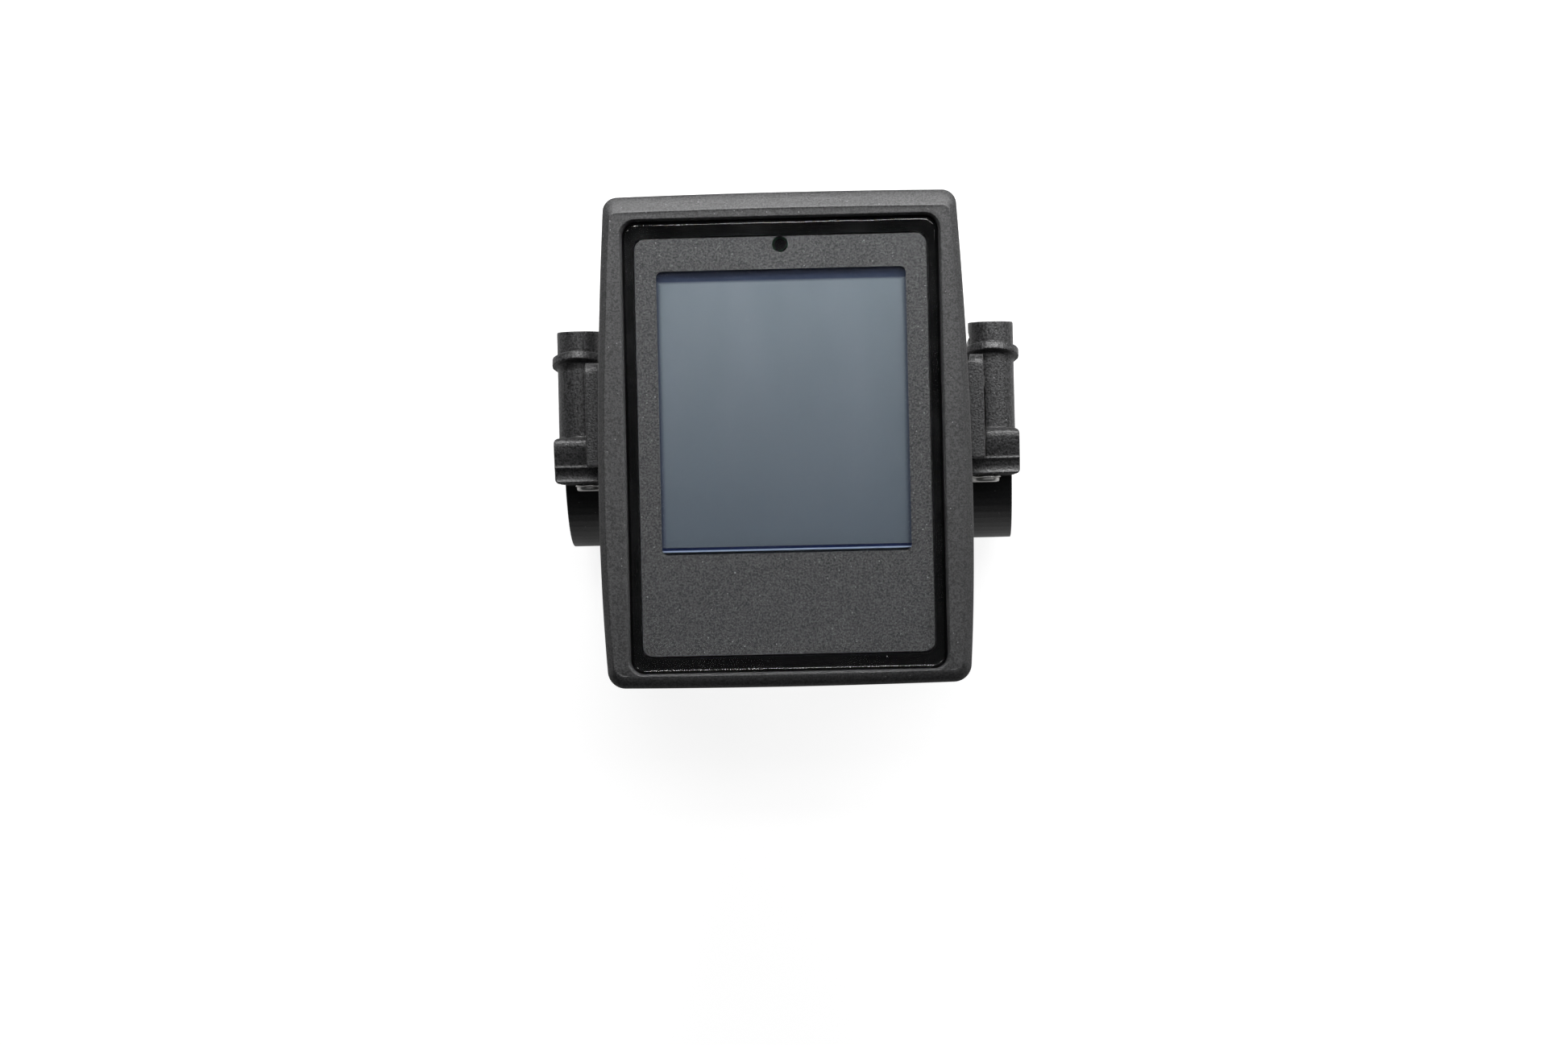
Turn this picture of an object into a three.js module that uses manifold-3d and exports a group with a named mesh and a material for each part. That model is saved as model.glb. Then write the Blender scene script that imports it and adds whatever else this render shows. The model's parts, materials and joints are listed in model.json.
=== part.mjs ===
// Cycling computer for an electric bicycle: an LCD display that two clamps hold on a handlebar.
// Millimetres. The handlebar's axis is the X axis, +X is the rider's right, +Y points forward
// and +Z comes out of the screen. The origin is on the bar's axis, midway between the clamps.

import * as THREE from 'three';
import { mergeVertices } from 'three/addons/utils/BufferGeometryUtils.js';
import Module from 'manifold-3d';

const wasm = await Module();
wasm.setup();

// ---------------------------------------------------------------- driving dimensions

const BAR_R = 15.9;

// Housing outline: barrel sides, nearly straight ends.
const HALF_LENGTH = 43.75;
const HALF_WIDTH_TOP = 31.5;
const HALF_WIDTH_BOTTOM = 32.4;
const SIDE_BULGE_X = 34.6;
const SIDE_BULGE_Y = -8;
const END_BOW = 0.5;
const CORNER_R = 2.6;

// Heights above the bar's axis.
const BACK_Z = 22.5;
const RIM_Z = 31.0;
const RIM_TOP = 32.0;
const PARTING_Z = 32.4;
const BEVEL_Z = 36.6;
const RIDGE_Z = 38.0;
const GROOVE_Z = 37.8;
const LEDGE_Z = 34.5;
const LEDGE_T = 1.0;

// The bevelled rim of the bezel: how far its ridge stands in from the outline.
const BEVEL_TOP = 2.9;
const BEVEL_SIDE = 1.2;
const BEVEL_BOTTOM = 1.4;

const WALL = 2.0;
const TUB_HALF_WIDTH = 28.0;
const TUB_HALF_LENGTH = 40.5;

// Inside the housing: the bezel's hollow, its screw posts and the seal's opening.
const BEZEL_HOLLOW = { w: 57.0, h: 81.5, r: 2.0 };
const BEZEL_POST_R = 2.6;
const DISH_EDGE = 0.3;
const DISH_SIDE = 2.4;
const DISH_END = 1.5;
const SEAL_INSET = 1.0;
const SEAL_OPENING = { w: 57.6, h: 82.2, r: 3.0 };
const TUB_SLOPE = 2.5;
const TUB_CORNER_R = 6;
const RIM_INSET = 0.15;

// Screen stack.
const SCREEN_Y = -1.0;
const LENS = { w: 55.2, h: 79.4, r: 2.0, t: 1.8 };
const LENS_GAP = 0.45;
const PANEL = { w: 52.0, h: 74.4, r: 2.0, t: 0.5 };
const WINDOW = { w: 44.5, h: 50.6, r: 1.0, y: 5.1 };
const GASKET_T = 0.6;
const SENSOR_Y = 34.8;
const SENSOR_HOLE_R = 1.45;
const LCD = { w: 48.0, h: 54.6, t: 1.5 };
const CELL_END = -19.7;
const FILM_END = -18.9;
const FILM_T = 0.2;
const GUIDE_T = 2.0;
const CARRIER = { w: 51.0, h: 61.2, y: 2.6 };
const LAMP_WELL = { half: 23, y0: -26.6, y1: -22.0 };
const LAMP_PITCH = 8.5;
const CARRIER_Z = 28.5;
const CARRIER_TOP = 34.2;
const LCD_Z = 32.2;
const GUIDE_Z = 29.9;
const PCB = { w: 51.0, h: 73.0, t: 1.6 };
const PCB_Z = 26.9;

// Housing screws, one near each corner of the tub.
const SCREW_X = 24.4;
const SCREW_Y = 36.6;
const SCREW_POST_R = 3.2;
const SCREW_END = 33.0;
const THREAD_R = 1.25;
const HEAD_R = 2.3;
const HEAD_WELL_R = 2.5;
const HEAD_FLOOR = 3.0;

// Cable inlet and vent in the back of the rear cover.
const GLAND_R = 4.5;
const GLAND_Y = 30;
const GLAND_DOWN = 4.5;
const GLAND_UP = 4.0;
const GLAND_BORE_R = 2.7;
const HEX_R = 6.4;
const HEX_T = 2.3;
const GROMMET_R = 2.6;
const GROMMET_LIP_R = 3.6;
const GROMMET_BORE_R = 1.9;
const VENT_R = 3.0;
const VENT_X = 14;
const VENT_Y = 22;

// Clamps: everything is given for the right-hand one, and the left one mirrors it.
const CLAMP_IN = 33.6;
const CLAMP_OUT = 41.4;
const CLAMP_MID = 37.5;
const FLANGE_IN = 32.4;
const FLANGE_OUT = 42.2;
const LINER_T = 0.6;
const RING_IN = BAR_R + LINER_T + 0.1;
const STRAP_T = 1.8;
const STRAP_OUT = RING_IN + STRAP_T;
const STRAP_SIDE = 40.9;
const HINGE_Y = 17.5;
const HINGE_Z = 19.5;
const BOSS_R = 4.1;
const BOSS_END = 20.8;
const COLLAR_R = 5.0;
const COLLAR_BACK = 14.3;
const COLLAR_FRONT = 15.8;
const COLLAR_LEAN = 0.3;
const COLLAR_RISE = 0.8;
const KNUCKLE_R = 2.3;
const KNUCKLE_W = 4.2;
const KNUCKLE_FOOT = 13.8;
const PIN_R = 1.2;
const SCREW_R = 1.5;
const CLEAR = 0.3;
const RUNNING = 0.1;

// Closing screw: along Y, through the strap's rear tab and the saddle's flange.
const FLANGE_BACK = -4.9;
const TAB_FRONT = FLANGE_BACK - CLEAR;
const TAB_T = 1.8;
const TAB_BACK = TAB_FRONT - TAB_T;
const TAB_SIDE = FLANGE_OUT - 0.8;
const TAB_TOP = 22.6;
const LIP_BACK = -6.9;
const LIP_Z = 22.9;
const CLOSE_X = 36.0;
const CLOSE_Z = 20.3;
const CLOSE_HEAD_R = 2.5;
const CLOSE_HEAD_T = 0.8;
const WASHER_R = 2.75;
const WASHER_T = 0.35;
const SLOT_W = 3.5;

// Saddle: the arch on the bar, the raised block behind its barrel, and the nut's pocket.
const ARCH_TOP = 20.8;
const ARCH_FRONT = 16.0;
const ARCH_FOOT = 8;
const BLOCK_FRONT = 1.4;
const BLOCK_BACK = -3.8;
const BLOCK_TOP = 25.0;
const BLOCK_CORNER_R = 0.9;
const NUT_POCKET = { x: 38.9, y0: -3.2, y1: -1.0, z0: 17.4, z1: 23.2 };
const NUT_HALF = 2.75;

// Tilt pivot between the bracket arms and the saddles.
const PIVOT_Y = 5.5;
const PIVOT_Z = 20.3;
const PIVOT_R = 1.25;
const ARM_IN = 33.4;
const ARM_OUT = 35.8;
const BAND_BACK = -4.0;
const BAND_FRONT = 13.2;
const BAND_Z = 27.3;
const FOOT_Z = 28.3;
const LUG_R = 3.8;
const ARM_POCKET = { x: ARM_OUT + CLEAR, y0: -0.2, y1: 11.2 };
const PIVOT_HEAD_T = 1.8;
const PIVOT_END = 40.0;
const ARM_SCREW_X = 30.6;
const ARM_SCREW_Y = [-1, 12];
const ARM_SCREW_R = 1.0;
const ARM_SCREW_END = 35.2;
const ARM_HEAD_R = 2.1;
const PIVOT_HEAD_R = 2.3;
const PIVOT_NUT_R = 2.6;
const PIVOT_NUT_T = 2.0;

// ---------------------------------------------------------------- materials

function finish(color, roughness, metalness = 0) {
  return new THREE.MeshStandardMaterial({ color, roughness, metalness });
}

const MATTE_BLACK = finish(0x33343a, 0.62);
const SMOOTH_BLACK = finish(0x1c1d20, 0.4);
const RUBBER = finish(0x17171a, 0.85);
const PANEL_GREY = finish(0x4a4b4e, 0.7);
const CLEAR_PLASTIC = finish(0x9aa4ab, 0.08);
const LCD_GREY = finish(0x5d6874, 0.25);
const STEEL = finish(0xb9bcc0, 0.3, 1);
const BOARD_GREEN = finish(0x1f4d38, 0.55);
const CHIP_BLACK = finish(0x202124, 0.5);
const WHITE_PLASTIC = finish(0xe4e5e2, 0.5);

// ---------------------------------------------------------------- solids

function solid(geometry) {
  const bare = geometry.clone();
  bare.deleteAttribute('normal');
  bare.deleteAttribute('uv');
  const merged = mergeVertices(bare, 1e-4);
  const vertProperties = new Float32Array(merged.attributes.position.array);
  const triVerts = new Uint32Array(merged.index.array);
  return new wasm.Manifold(new wasm.Mesh({ numProp: 3, vertProperties, triVerts }));
}

function geometryOf(body) {
  const mesh = body.getMesh();
  const geometry = new THREE.BufferGeometry();
  geometry.setAttribute('position', new THREE.BufferAttribute(mesh.vertProperties, 3));
  geometry.setIndex(new THREE.BufferAttribute(mesh.triVerts, 1));
  return geometry;
}

function join(first, ...others) {
  return others.reduce((sum, other) => sum.add(other), first);
}

function cut(first, ...others) {
  return others.reduce((rest, other) => rest.subtract(other), first);
}

function block(x0, x1, y0, y1, z0, z1) {
  const geometry = new THREE.BoxGeometry(x1 - x0, y1 - y0, z1 - z0);
  geometry.translate((x0 + x1) / 2, (y0 + y1) / 2, (z0 + z1) / 2);
  return solid(geometry);
}

function rodX(r, x0, x1, y, z, sides = 16) {
  const geometry = new THREE.CylinderGeometry(r, r, x1 - x0, sides);
  geometry.rotateZ(Math.PI / 2);
  geometry.translate((x0 + x1) / 2, y, z);
  return solid(geometry);
}

function rodY(r, y0, y1, x, z, sides = 16) {
  const geometry = new THREE.CylinderGeometry(r, r, y1 - y0, sides);
  geometry.translate(x, (y0 + y1) / 2, z);
  return solid(geometry);
}

function rodZ(r, z0, z1, x, y, sides = 16) {
  const geometry = new THREE.CylinderGeometry(r, r, z1 - z0, sides);
  geometry.rotateX(Math.PI / 2);
  geometry.translate(x, y, (z0 + z1) / 2);
  return solid(geometry);
}

// An outline in the XY plane, raised from z0 to z1.
function plate(shape, z0, z1, curveSegments = 4) {
  const options = { depth: z1 - z0, bevelEnabled: false, curveSegments };
  const geometry = new THREE.ExtrudeGeometry(shape, options);
  geometry.translate(0, 0, z0);
  return solid(geometry);
}

// An outline in the YZ plane, given as (y, z), drawn out along X from x0 to x1.
function profileX(shape, x0, x1, curveSegments = 6) {
  const options = { depth: x1 - x0, bevelEnabled: false, curveSegments };
  const geometry = new THREE.ExtrudeGeometry(shape, options);
  const turn = new THREE.Matrix4().makeBasis(
    new THREE.Vector3(0, 1, 0),
    new THREE.Vector3(0, 0, 1),
    new THREE.Vector3(1, 0, 0),
  );
  geometry.applyMatrix4(turn);
  geometry.translate(x0, 0, 0);
  return solid(geometry);
}

// Outlines with the same number of points, stacked from the lowest to the highest.
function loft(sections) {
  const count = sections[0].points.length;
  const positions = [];
  for (const { points, z } of sections) {
    for (const point of points) positions.push(point.x, point.y, z);
  }
  const index = [];
  for (let ring = 0; ring + 1 < sections.length; ring += 1) {
    for (let i = 0; i < count; i += 1) {
      const a = ring * count + i;
      const b = ring * count + ((i + 1) % count);
      index.push(a, b, b + count, a, b + count, a + count);
    }
  }
  const top = (sections.length - 1) * count;
  for (const [a, b, c] of THREE.ShapeUtils.triangulateShape(sections[0].points, [])) {
    index.push(a, c, b);
  }
  for (const [a, b, c] of THREE.ShapeUtils.triangulateShape(sections.at(-1).points, [])) {
    index.push(top + a, top + b, top + c);
  }
  const geometry = new THREE.BufferGeometry();
  geometry.setAttribute('position', new THREE.Float32BufferAttribute(positions, 3));
  geometry.setIndex(index);
  return solid(geometry);
}

// ---------------------------------------------------------------- outlines

function roundedRectangle(w, h, r, y = 0) {
  const shape = new THREE.Shape();
  const x = w / 2 - r;
  const dy = h / 2 - r;
  shape.absarc(x, y - dy, r, -Math.PI / 2, 0);
  shape.absarc(x, y + dy, r, 0, Math.PI / 2);
  shape.absarc(-x, y + dy, r, Math.PI / 2, Math.PI);
  shape.absarc(-x, y - dy, r, Math.PI, Math.PI * 1.5);
  return shape;
}

// The housing's barrel outline, drawn in by the given amounts.
function housingOutline(side = 0, top = side, bottom = side) {
  const xt = HALF_WIDTH_TOP - side;
  const xb = HALF_WIDTH_BOTTOM - side;
  const yt = HALF_LENGTH - top;
  const yb = -(HALF_LENGTH - bottom);
  const r = Math.max(CORNER_R - side / 2, 1);
  const shape = new THREE.Shape();
  shape.moveTo(xb, yb + r);
  shape.quadraticCurveTo(SIDE_BULGE_X - side, SIDE_BULGE_Y, xt, yt - r);
  shape.quadraticCurveTo(xt, yt, xt - r, yt);
  shape.quadraticCurveTo(0, yt + END_BOW, r - xt, yt);
  shape.quadraticCurveTo(-xt, yt, -xt, yt - r);
  shape.quadraticCurveTo(side - SIDE_BULGE_X, SIDE_BULGE_Y, -xb, yb + r);
  shape.quadraticCurveTo(-xb, yb, r - xb, yb);
  shape.quadraticCurveTo(0, yb - END_BOW, xb - r, yb);
  shape.quadraticCurveTo(xb, yb, xb, yb + r);
  return shape;
}

function ringPoints(shape) {
  const points = shape.getPoints(4);
  const last = points.at(-1);
  if (last.distanceTo(points[0]) < 1e-6) points.pop();
  return points;
}

function lensOutline(grow) {
  return roundedRectangle(LENS.w + 2 * grow, LENS.h + 2 * grow, LENS.r + grow, SCREEN_Y);
}

// ---------------------------------------------------------------- housing

function frontBezel() {
  const shell = loft([
    { points: ringPoints(housingOutline()), z: PARTING_Z },
    { points: ringPoints(housingOutline()), z: BEVEL_Z },
    { points: ringPoints(housingOutline(BEVEL_SIDE, BEVEL_TOP, BEVEL_BOTTOM)), z: RIDGE_Z },
  ]);
  const ridge = housingOutline(
    BEVEL_SIDE + DISH_EDGE, BEVEL_TOP + DISH_EDGE, BEVEL_BOTTOM + DISH_EDGE);
  const inner = housingOutline(
    BEVEL_SIDE + DISH_SIDE, BEVEL_TOP + DISH_END, BEVEL_BOTTOM + DISH_END);
  const dish = loft([
    { points: ringPoints(inner), z: GROOVE_Z },
    { points: ringPoints(ridge), z: RIDGE_Z + 0.01 },
  ]);
  const pocket = plate(lensOutline(LENS_GAP), LEDGE_Z, RIDGE_Z + 1);
  const window = roundedRectangle(PANEL.w + 0.6, PANEL.h + 0.6, PANEL.r, SCREEN_Y);
  const opening = plate(window, LEDGE_Z - LEDGE_T - 1, LEDGE_Z + 0.1);
  const inside = roundedRectangle(BEZEL_HOLLOW.w, BEZEL_HOLLOW.h, BEZEL_HOLLOW.r);
  const cavity = plate(inside, PARTING_Z - 1, LEDGE_Z - LEDGE_T);
  let body = cut(shell, dish, pocket, opening, cavity);
  for (const [x, y] of housingScrewPlaces()) {
    const post = rodZ(BEZEL_POST_R, PARTING_Z, LEDGE_Z - LEDGE_T, x, y);
    const thread = rodZ(THREAD_R + RUNNING, PARTING_Z - 1, SCREW_END + 0.2, x, y);
    body = body.add(post).subtract(thread);
  }
  for (const [x, y] of armScrewPlaces()) {
    body = body.subtract(rodZ(ARM_SCREW_R + RUNNING, PARTING_Z - 1, ARM_SCREW_END + 0.3, x, y));
  }
  return body;
}

function housingScrewPlaces() {
  const places = [];
  for (const x of [-SCREW_X, SCREW_X]) {
    for (const y of [-SCREW_Y, SCREW_Y]) places.push([x, y]);
  }
  return places;
}

function armScrewPlaces() {
  return [-1, 1].flatMap((side) => ARM_SCREW_Y.map((y) => [side * ARM_SCREW_X, y]));
}

function rearCover() {
  const w = 2 * TUB_HALF_WIDTH;
  const h = 2 * TUB_HALF_LENGTH;
  const back = roundedRectangle(w - 2 * TUB_SLOPE, h - 2 * TUB_SLOPE - 2, TUB_CORNER_R - 1);
  const shoulder = roundedRectangle(w, h, TUB_CORNER_R);
  const tub = loft([
    { points: ringPoints(back), z: BACK_Z },
    { points: ringPoints(shoulder), z: BACK_Z + TUB_SLOPE },
    { points: ringPoints(shoulder), z: RIM_TOP },
  ]);
  const rim = plate(housingOutline(RIM_INSET), RIM_Z, RIM_TOP, 4);
  const inside = roundedRectangle(w - 2 * WALL, h - 2 * WALL, TUB_CORNER_R - WALL);
  const cavity = plate(inside, BACK_Z + WALL, PARTING_Z + 1);
  let body = tub.add(rim).subtract(cavity);
  for (const [x, y] of housingScrewPlaces()) {
    body = body.add(rodZ(SCREW_POST_R, BACK_Z + 0.6, RIM_TOP, x, y));
  }
  for (const [x, y] of housingScrewPlaces()) {
    body = body.subtract(rodZ(THREAD_R + RUNNING, BACK_Z - 1, PARTING_Z + 1, x, y));
    body = body.subtract(rodZ(HEAD_WELL_R, BACK_Z - 1, BACK_Z + HEAD_FLOOR, x, y));
  }
  for (const [x, y] of armScrewPlaces()) {
    body = body.subtract(rodZ(ARM_SCREW_R + RUNNING, RIM_Z - 1, PARTING_Z + 1, x, y));
  }
  const gland = rodZ(GLAND_R + RUNNING, BACK_Z - 1, BACK_Z + WALL + 1, 0, GLAND_Y);
  const vent = rodZ(VENT_R + RUNNING, BACK_Z - 1, BACK_Z + WALL + 1, VENT_X, VENT_Y);
  return cut(body, gland, vent);
}

function housingSeal() {
  const ring = plate(housingOutline(SEAL_INSET), RIM_TOP, PARTING_Z, 4);
  const inside = roundedRectangle(SEAL_OPENING.w, SEAL_OPENING.h, SEAL_OPENING.r);
  let body = ring.subtract(plate(inside, RIM_TOP - 1, PARTING_Z + 1));
  for (const [x, y] of armScrewPlaces()) {
    body = body.subtract(rodZ(ARM_SCREW_R + 0.2, RIM_TOP - 1, PARTING_Z + 1, x, y));
  }
  return body;
}

function housingScrew(x, y) {
  const head = rodZ(HEAD_R, BACK_Z + 1, BACK_Z + HEAD_FLOOR, x, y);
  const socket = rodZ(HEAD_R / 2, BACK_Z, BACK_Z + 2, x, y, 6);
  return head.subtract(socket).add(rodZ(THREAD_R, BACK_Z + HEAD_FLOOR - 0.1, SCREW_END, x, y));
}

function cableGland() {
  const barrel = rodZ(GLAND_R, BACK_Z - GLAND_DOWN, BACK_Z + GLAND_UP, 0, GLAND_Y);
  const flange = rodZ(HEX_R, BACK_Z - 0.1 - HEX_T, BACK_Z - 0.1, 0, GLAND_Y, 6);
  return barrel.add(flange).subtract(rodZ(GLAND_BORE_R, BACK_Z - 6, BACK_Z + 6, 0, GLAND_Y));
}

function cableGrommet() {
  const end = BACK_Z - GLAND_DOWN - 0.1;
  const sleeve = rodZ(GROMMET_R, end - 0.2, BACK_Z + GLAND_UP - 0.4, 0, GLAND_Y);
  const lip = rodZ(GROMMET_LIP_R, end - 1, end, 0, GLAND_Y);
  return join(sleeve, lip).subtract(rodZ(GROMMET_BORE_R, end - 2, BACK_Z + 6, 0, GLAND_Y));
}

function glandNut() {
  const nut = rodZ(HEX_R - 0.2, BACK_Z + WALL, BACK_Z + WALL + 1.8, 0, GLAND_Y, 6);
  return nut.subtract(rodZ(GLAND_R + RUNNING, BACK_Z, BACK_Z + 6, 0, GLAND_Y));
}

function ventPlug() {
  return rodZ(VENT_R, BACK_Z - 0.2, BACK_Z + WALL + 0.3, VENT_X, VENT_Y);
}

// ---------------------------------------------------------------- screen

const LENS_Z = LEDGE_Z + GASKET_T;

function lens() {
  return plate(lensOutline(0), LENS_Z, LENS_Z + LENS.t);
}

function lensGasket() {
  const hole = roundedRectangle(PANEL.w + 0.6, PANEL.h + 0.6, PANEL.r, SCREEN_Y);
  return plate(lensOutline(0), LEDGE_Z, LENS_Z).subtract(plate(hole, LEDGE_Z - 1, LENS_Z + 1));
}

function maskPanel() {
  const top = LENS_Z - 0.05;
  const sheet = plate(roundedRectangle(PANEL.w, PANEL.h, PANEL.r, SCREEN_Y), top - PANEL.t, top);
  const view = plate(roundedRectangle(WINDOW.w, WINDOW.h, WINDOW.r, WINDOW.y), top - 2, top + 1);
  return cut(sheet, view, rodZ(SENSOR_HOLE_R, top - 2, top + 1, 0, SENSOR_Y));
}

function screenSheet(w, h, z0, z1) {
  return block(-w / 2, w / 2, WINDOW.y - h / 2, WINDOW.y + h / 2, z0, z1);
}

// The cell and its front film end just inside the window, so their lower edges show there.
function lcdCell() {
  const top = WINDOW.y + LCD.h / 2;
  return block(-LCD.w / 2, LCD.w / 2, CELL_END, top, LCD_Z, LCD_Z + LCD.t);
}

function frontPolariser() {
  const top = WINDOW.y + LCD.h / 2 - 0.3;
  const z = LCD_Z + LCD.t;
  return block(0.3 - LCD.w / 2, LCD.w / 2 - 0.3, FILM_END, top, z, z + FILM_T);
}

function lcdCarrier() {
  const outer = roundedRectangle(CARRIER.w, CARRIER.h, 1.0, CARRIER.y);
  const pocket = screenSheet(LCD.w + 0.4, LCD.h + 0.4, CARRIER_Z + 1.0, CARRIER_TOP + 1);
  const { half, y0, y1 } = LAMP_WELL;
  const lamps = block(-half, half, y0, y1, CARRIER_Z + 1.0, LCD_Z - 0.1);
  return cut(plate(outer, CARRIER_Z, CARRIER_TOP), pocket, lamps);
}

function backlightStrip() {
  const half = LAMP_WELL.half - 1;
  const y = LAMP_WELL.y0 + CLEAR;
  let body = block(-half, half, y, y + 1, CARRIER_Z + 1.1, LCD_Z - 0.5);
  for (let i = -2; i <= 2; i += 1) {
    const x = i * LAMP_PITCH;
    body = body.add(block(x - 1.5, x + 1.5, y + 0.9, y + 2.1, GUIDE_Z + 0.2, GUIDE_Z + 1.6));
  }
  return body;
}

// ---------------------------------------------------------------- electronics

function mainBoard() {
  let body = plate(roundedRectangle(PCB.w, PCB.h, 1.0), PCB_Z, PCB_Z + PCB.t);
  for (const [x, y] of housingScrewPlaces()) {
    body = body.subtract(rodZ(SCREW_POST_R + CLEAR, PCB_Z - 1, PCB_Z + 3, x, y));
  }
  return body;
}

function underBoard(x, y, w, h, t) {
  return block(x - w / 2, x + w / 2, y - h / 2, y + h / 2, PCB_Z - t, PCB_Z);
}

function capacitor() {
  return underBoard(-14, 12, 7.3, 4.3, 2.0);
}

function inductor() {
  const base = underBoard(12, 8, 6, 6, 0.6);
  return base.add(rodZ(2.8, PCB_Z - 2.2, PCB_Z - 0.5, 12, 8));
}

function buzzer() {
  const body = rodZ(4.6, PCB_Z - 2.0, PCB_Z, 10, -20);
  return body.subtract(rodZ(0.8, PCB_Z - 3, PCB_Z - 1.0, 10, -20, 12));
}

const SENSOR_TOP = PCB_Z + PCB.t + 0.8;

function lightSensor() {
  return block(-1, 1, SENSOR_Y - 1, SENSOR_Y + 1, PCB_Z + PCB.t, SENSOR_TOP);
}

function lightPipe() {
  return rodZ(1.0, SENSOR_TOP, LENS_Z - 0.2, 0, SENSOR_Y);
}

function screenConnector() {
  const z = PCB_Z + PCB.t;
  const shell = block(-11, 11, -32.5, -29.5, z, z + 1.8);
  return shell.subtract(block(-10, 10, -30.5, -28, z + 0.6, z + 1.2));
}

// ---------------------------------------------------------------- brackets, right-hand side

function bracketArm() {
  const ear = new THREE.Shape();
  ear.moveTo(BAND_BACK, BAND_Z);
  ear.lineTo(BAND_FRONT, BAND_Z);
  ear.absarc(BAND_FRONT, BAND_Z + 1.5, 1.5, -Math.PI / 2, 0);
  ear.absarc(BAND_FRONT - 0.5, RIM_Z - 2, 2, 0, Math.PI / 2);
  ear.lineTo(BAND_BACK, RIM_Z);
  const band = profileX(ear, ARM_IN, ARM_OUT);
  const lug = rodX(LUG_R, ARM_IN, ARM_OUT, PIVOT_Y, PIVOT_Z, 24);
  const web = block(ARM_IN, ARM_OUT, PIVOT_Y - LUG_R, PIVOT_Y + LUG_R, PIVOT_Z, FOOT_Z);
  const foot = block(TUB_HALF_WIDTH + CLEAR, ARM_IN + 1, -3.4, 13.4, FOOT_Z, RIM_Z);
  let body = join(band, lug, web, foot);
  body = body.subtract(rodX(PIVOT_R + RUNNING, ARM_IN - 1, ARM_OUT + 1, PIVOT_Y, PIVOT_Z));
  for (const y of ARM_SCREW_Y) {
    body = body.subtract(rodZ(ARM_SCREW_R + 0.15, 27, RIM_Z + 1, ARM_SCREW_X, y));
  }
  return body;
}

function armScrew(y) {
  const head = rodZ(ARM_HEAD_R, FOOT_Z - 1.5, FOOT_Z, ARM_SCREW_X, y);
  const socket = rodZ(ARM_HEAD_R / 2, FOOT_Z - 2, FOOT_Z - 0.7, ARM_SCREW_X, y, 6);
  const shank = rodZ(ARM_SCREW_R, FOOT_Z - 0.1, ARM_SCREW_END, ARM_SCREW_X, y);
  return head.subtract(socket).add(shank);
}

function pivotScrew() {
  const x = ARM_IN - PIVOT_HEAD_T;
  const head = rodX(PIVOT_HEAD_R, x, ARM_IN, PIVOT_Y, PIVOT_Z);
  const socket = rodX(PIVOT_HEAD_R / 2, x - 1, x + PIVOT_HEAD_T / 2, PIVOT_Y, PIVOT_Z, 6);
  return head.subtract(socket).add(rodX(PIVOT_R, ARM_IN - 0.1, PIVOT_END, PIVOT_Y, PIVOT_Z));
}

// Held in a pocket in the saddle, facing the arm.
function pivotNut() {
  const x = ARM_POCKET.x;
  const nut = rodX(PIVOT_NUT_R, x + RUNNING, x + PIVOT_NUT_T, PIVOT_Y, PIVOT_Z, 6);
  return nut.subtract(rodX(PIVOT_R + RUNNING, x - 1, x + 4, PIVOT_Y, PIVOT_Z));
}

// ---------------------------------------------------------------- clamps, right-hand side

// Part of a ring round the bar, between two radii, from angle a to angle b counted from +Y
// towards +Z.
function ringSector(inner, outer, a, b) {
  const shape = new THREE.Shape();
  shape.absarc(0, 0, outer, a, b, false);
  shape.absarc(0, 0, inner, b, a, true);
  return shape;
}

function saddleArch() {
  const rear = Math.acos(FLANGE_BACK / RING_IN);
  const front = Math.asin(ARCH_FOOT / RING_IN);
  const shape = new THREE.Shape();
  shape.absarc(0, 0, RING_IN, front, rear, false);
  shape.lineTo(FLANGE_BACK, ARCH_TOP);
  shape.lineTo(ARCH_FRONT, ARCH_TOP);
  shape.lineTo(ARCH_FRONT, ARCH_FOOT);
  return profileX(shape, CLAMP_IN, CLAMP_OUT, 12);
}

function outline(points) {
  return new THREE.Shape(points.map(([y, z]) => new THREE.Vector2(y, z)));
}

// The block behind the barrel: it steps up from the barrel, rounded, and falls away rearwards.
function saddleBlock() {
  const top = BLOCK_TOP;
  const profile = outline([
    [BLOCK_BACK - 0.2, RING_IN + 0.4],
    [BLOCK_FRONT - 0.2, RING_IN + 0.4],
    [BLOCK_FRONT, top - 1.0],
    [BLOCK_FRONT - 0.25, top - 0.45],
    [BLOCK_FRONT - 0.7, top - 0.12],
    [BLOCK_FRONT - 1.4, top],
    [BLOCK_FRONT - 2.6, top - 0.15],
    [BLOCK_BACK + 0.3, top - 0.75],
    [BLOCK_BACK - 0.2, top - 0.9],
  ]);
  return profileX(profile, ARM_POCKET.x, FLANGE_OUT);
}

// The flange that the closing screw bears on, with a lip over the strap's tab.
function saddleFlange() {
  const top = BLOCK_TOP - 0.6;
  const profile = outline([
    [FLANGE_BACK, RING_IN - 0.1],
    [BLOCK_BACK + 0.3, RING_IN + 0.3],
    [BLOCK_BACK + 0.1, top - 0.15],
    [BLOCK_BACK - 0.2, top],
    [BLOCK_BACK - 0.7, top - 0.45],
    [BLOCK_BACK - 1.6, top - 0.8],
    [LIP_BACK + 0.8, top - 0.75],
    [LIP_BACK + 0.35, top - 0.55],
    [LIP_BACK, top - 0.8],
    [LIP_BACK, LIP_Z],
    [FLANGE_BACK, LIP_Z],
  ]);
  return profileX(profile, FLANGE_IN, FLANGE_OUT);
}

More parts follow.
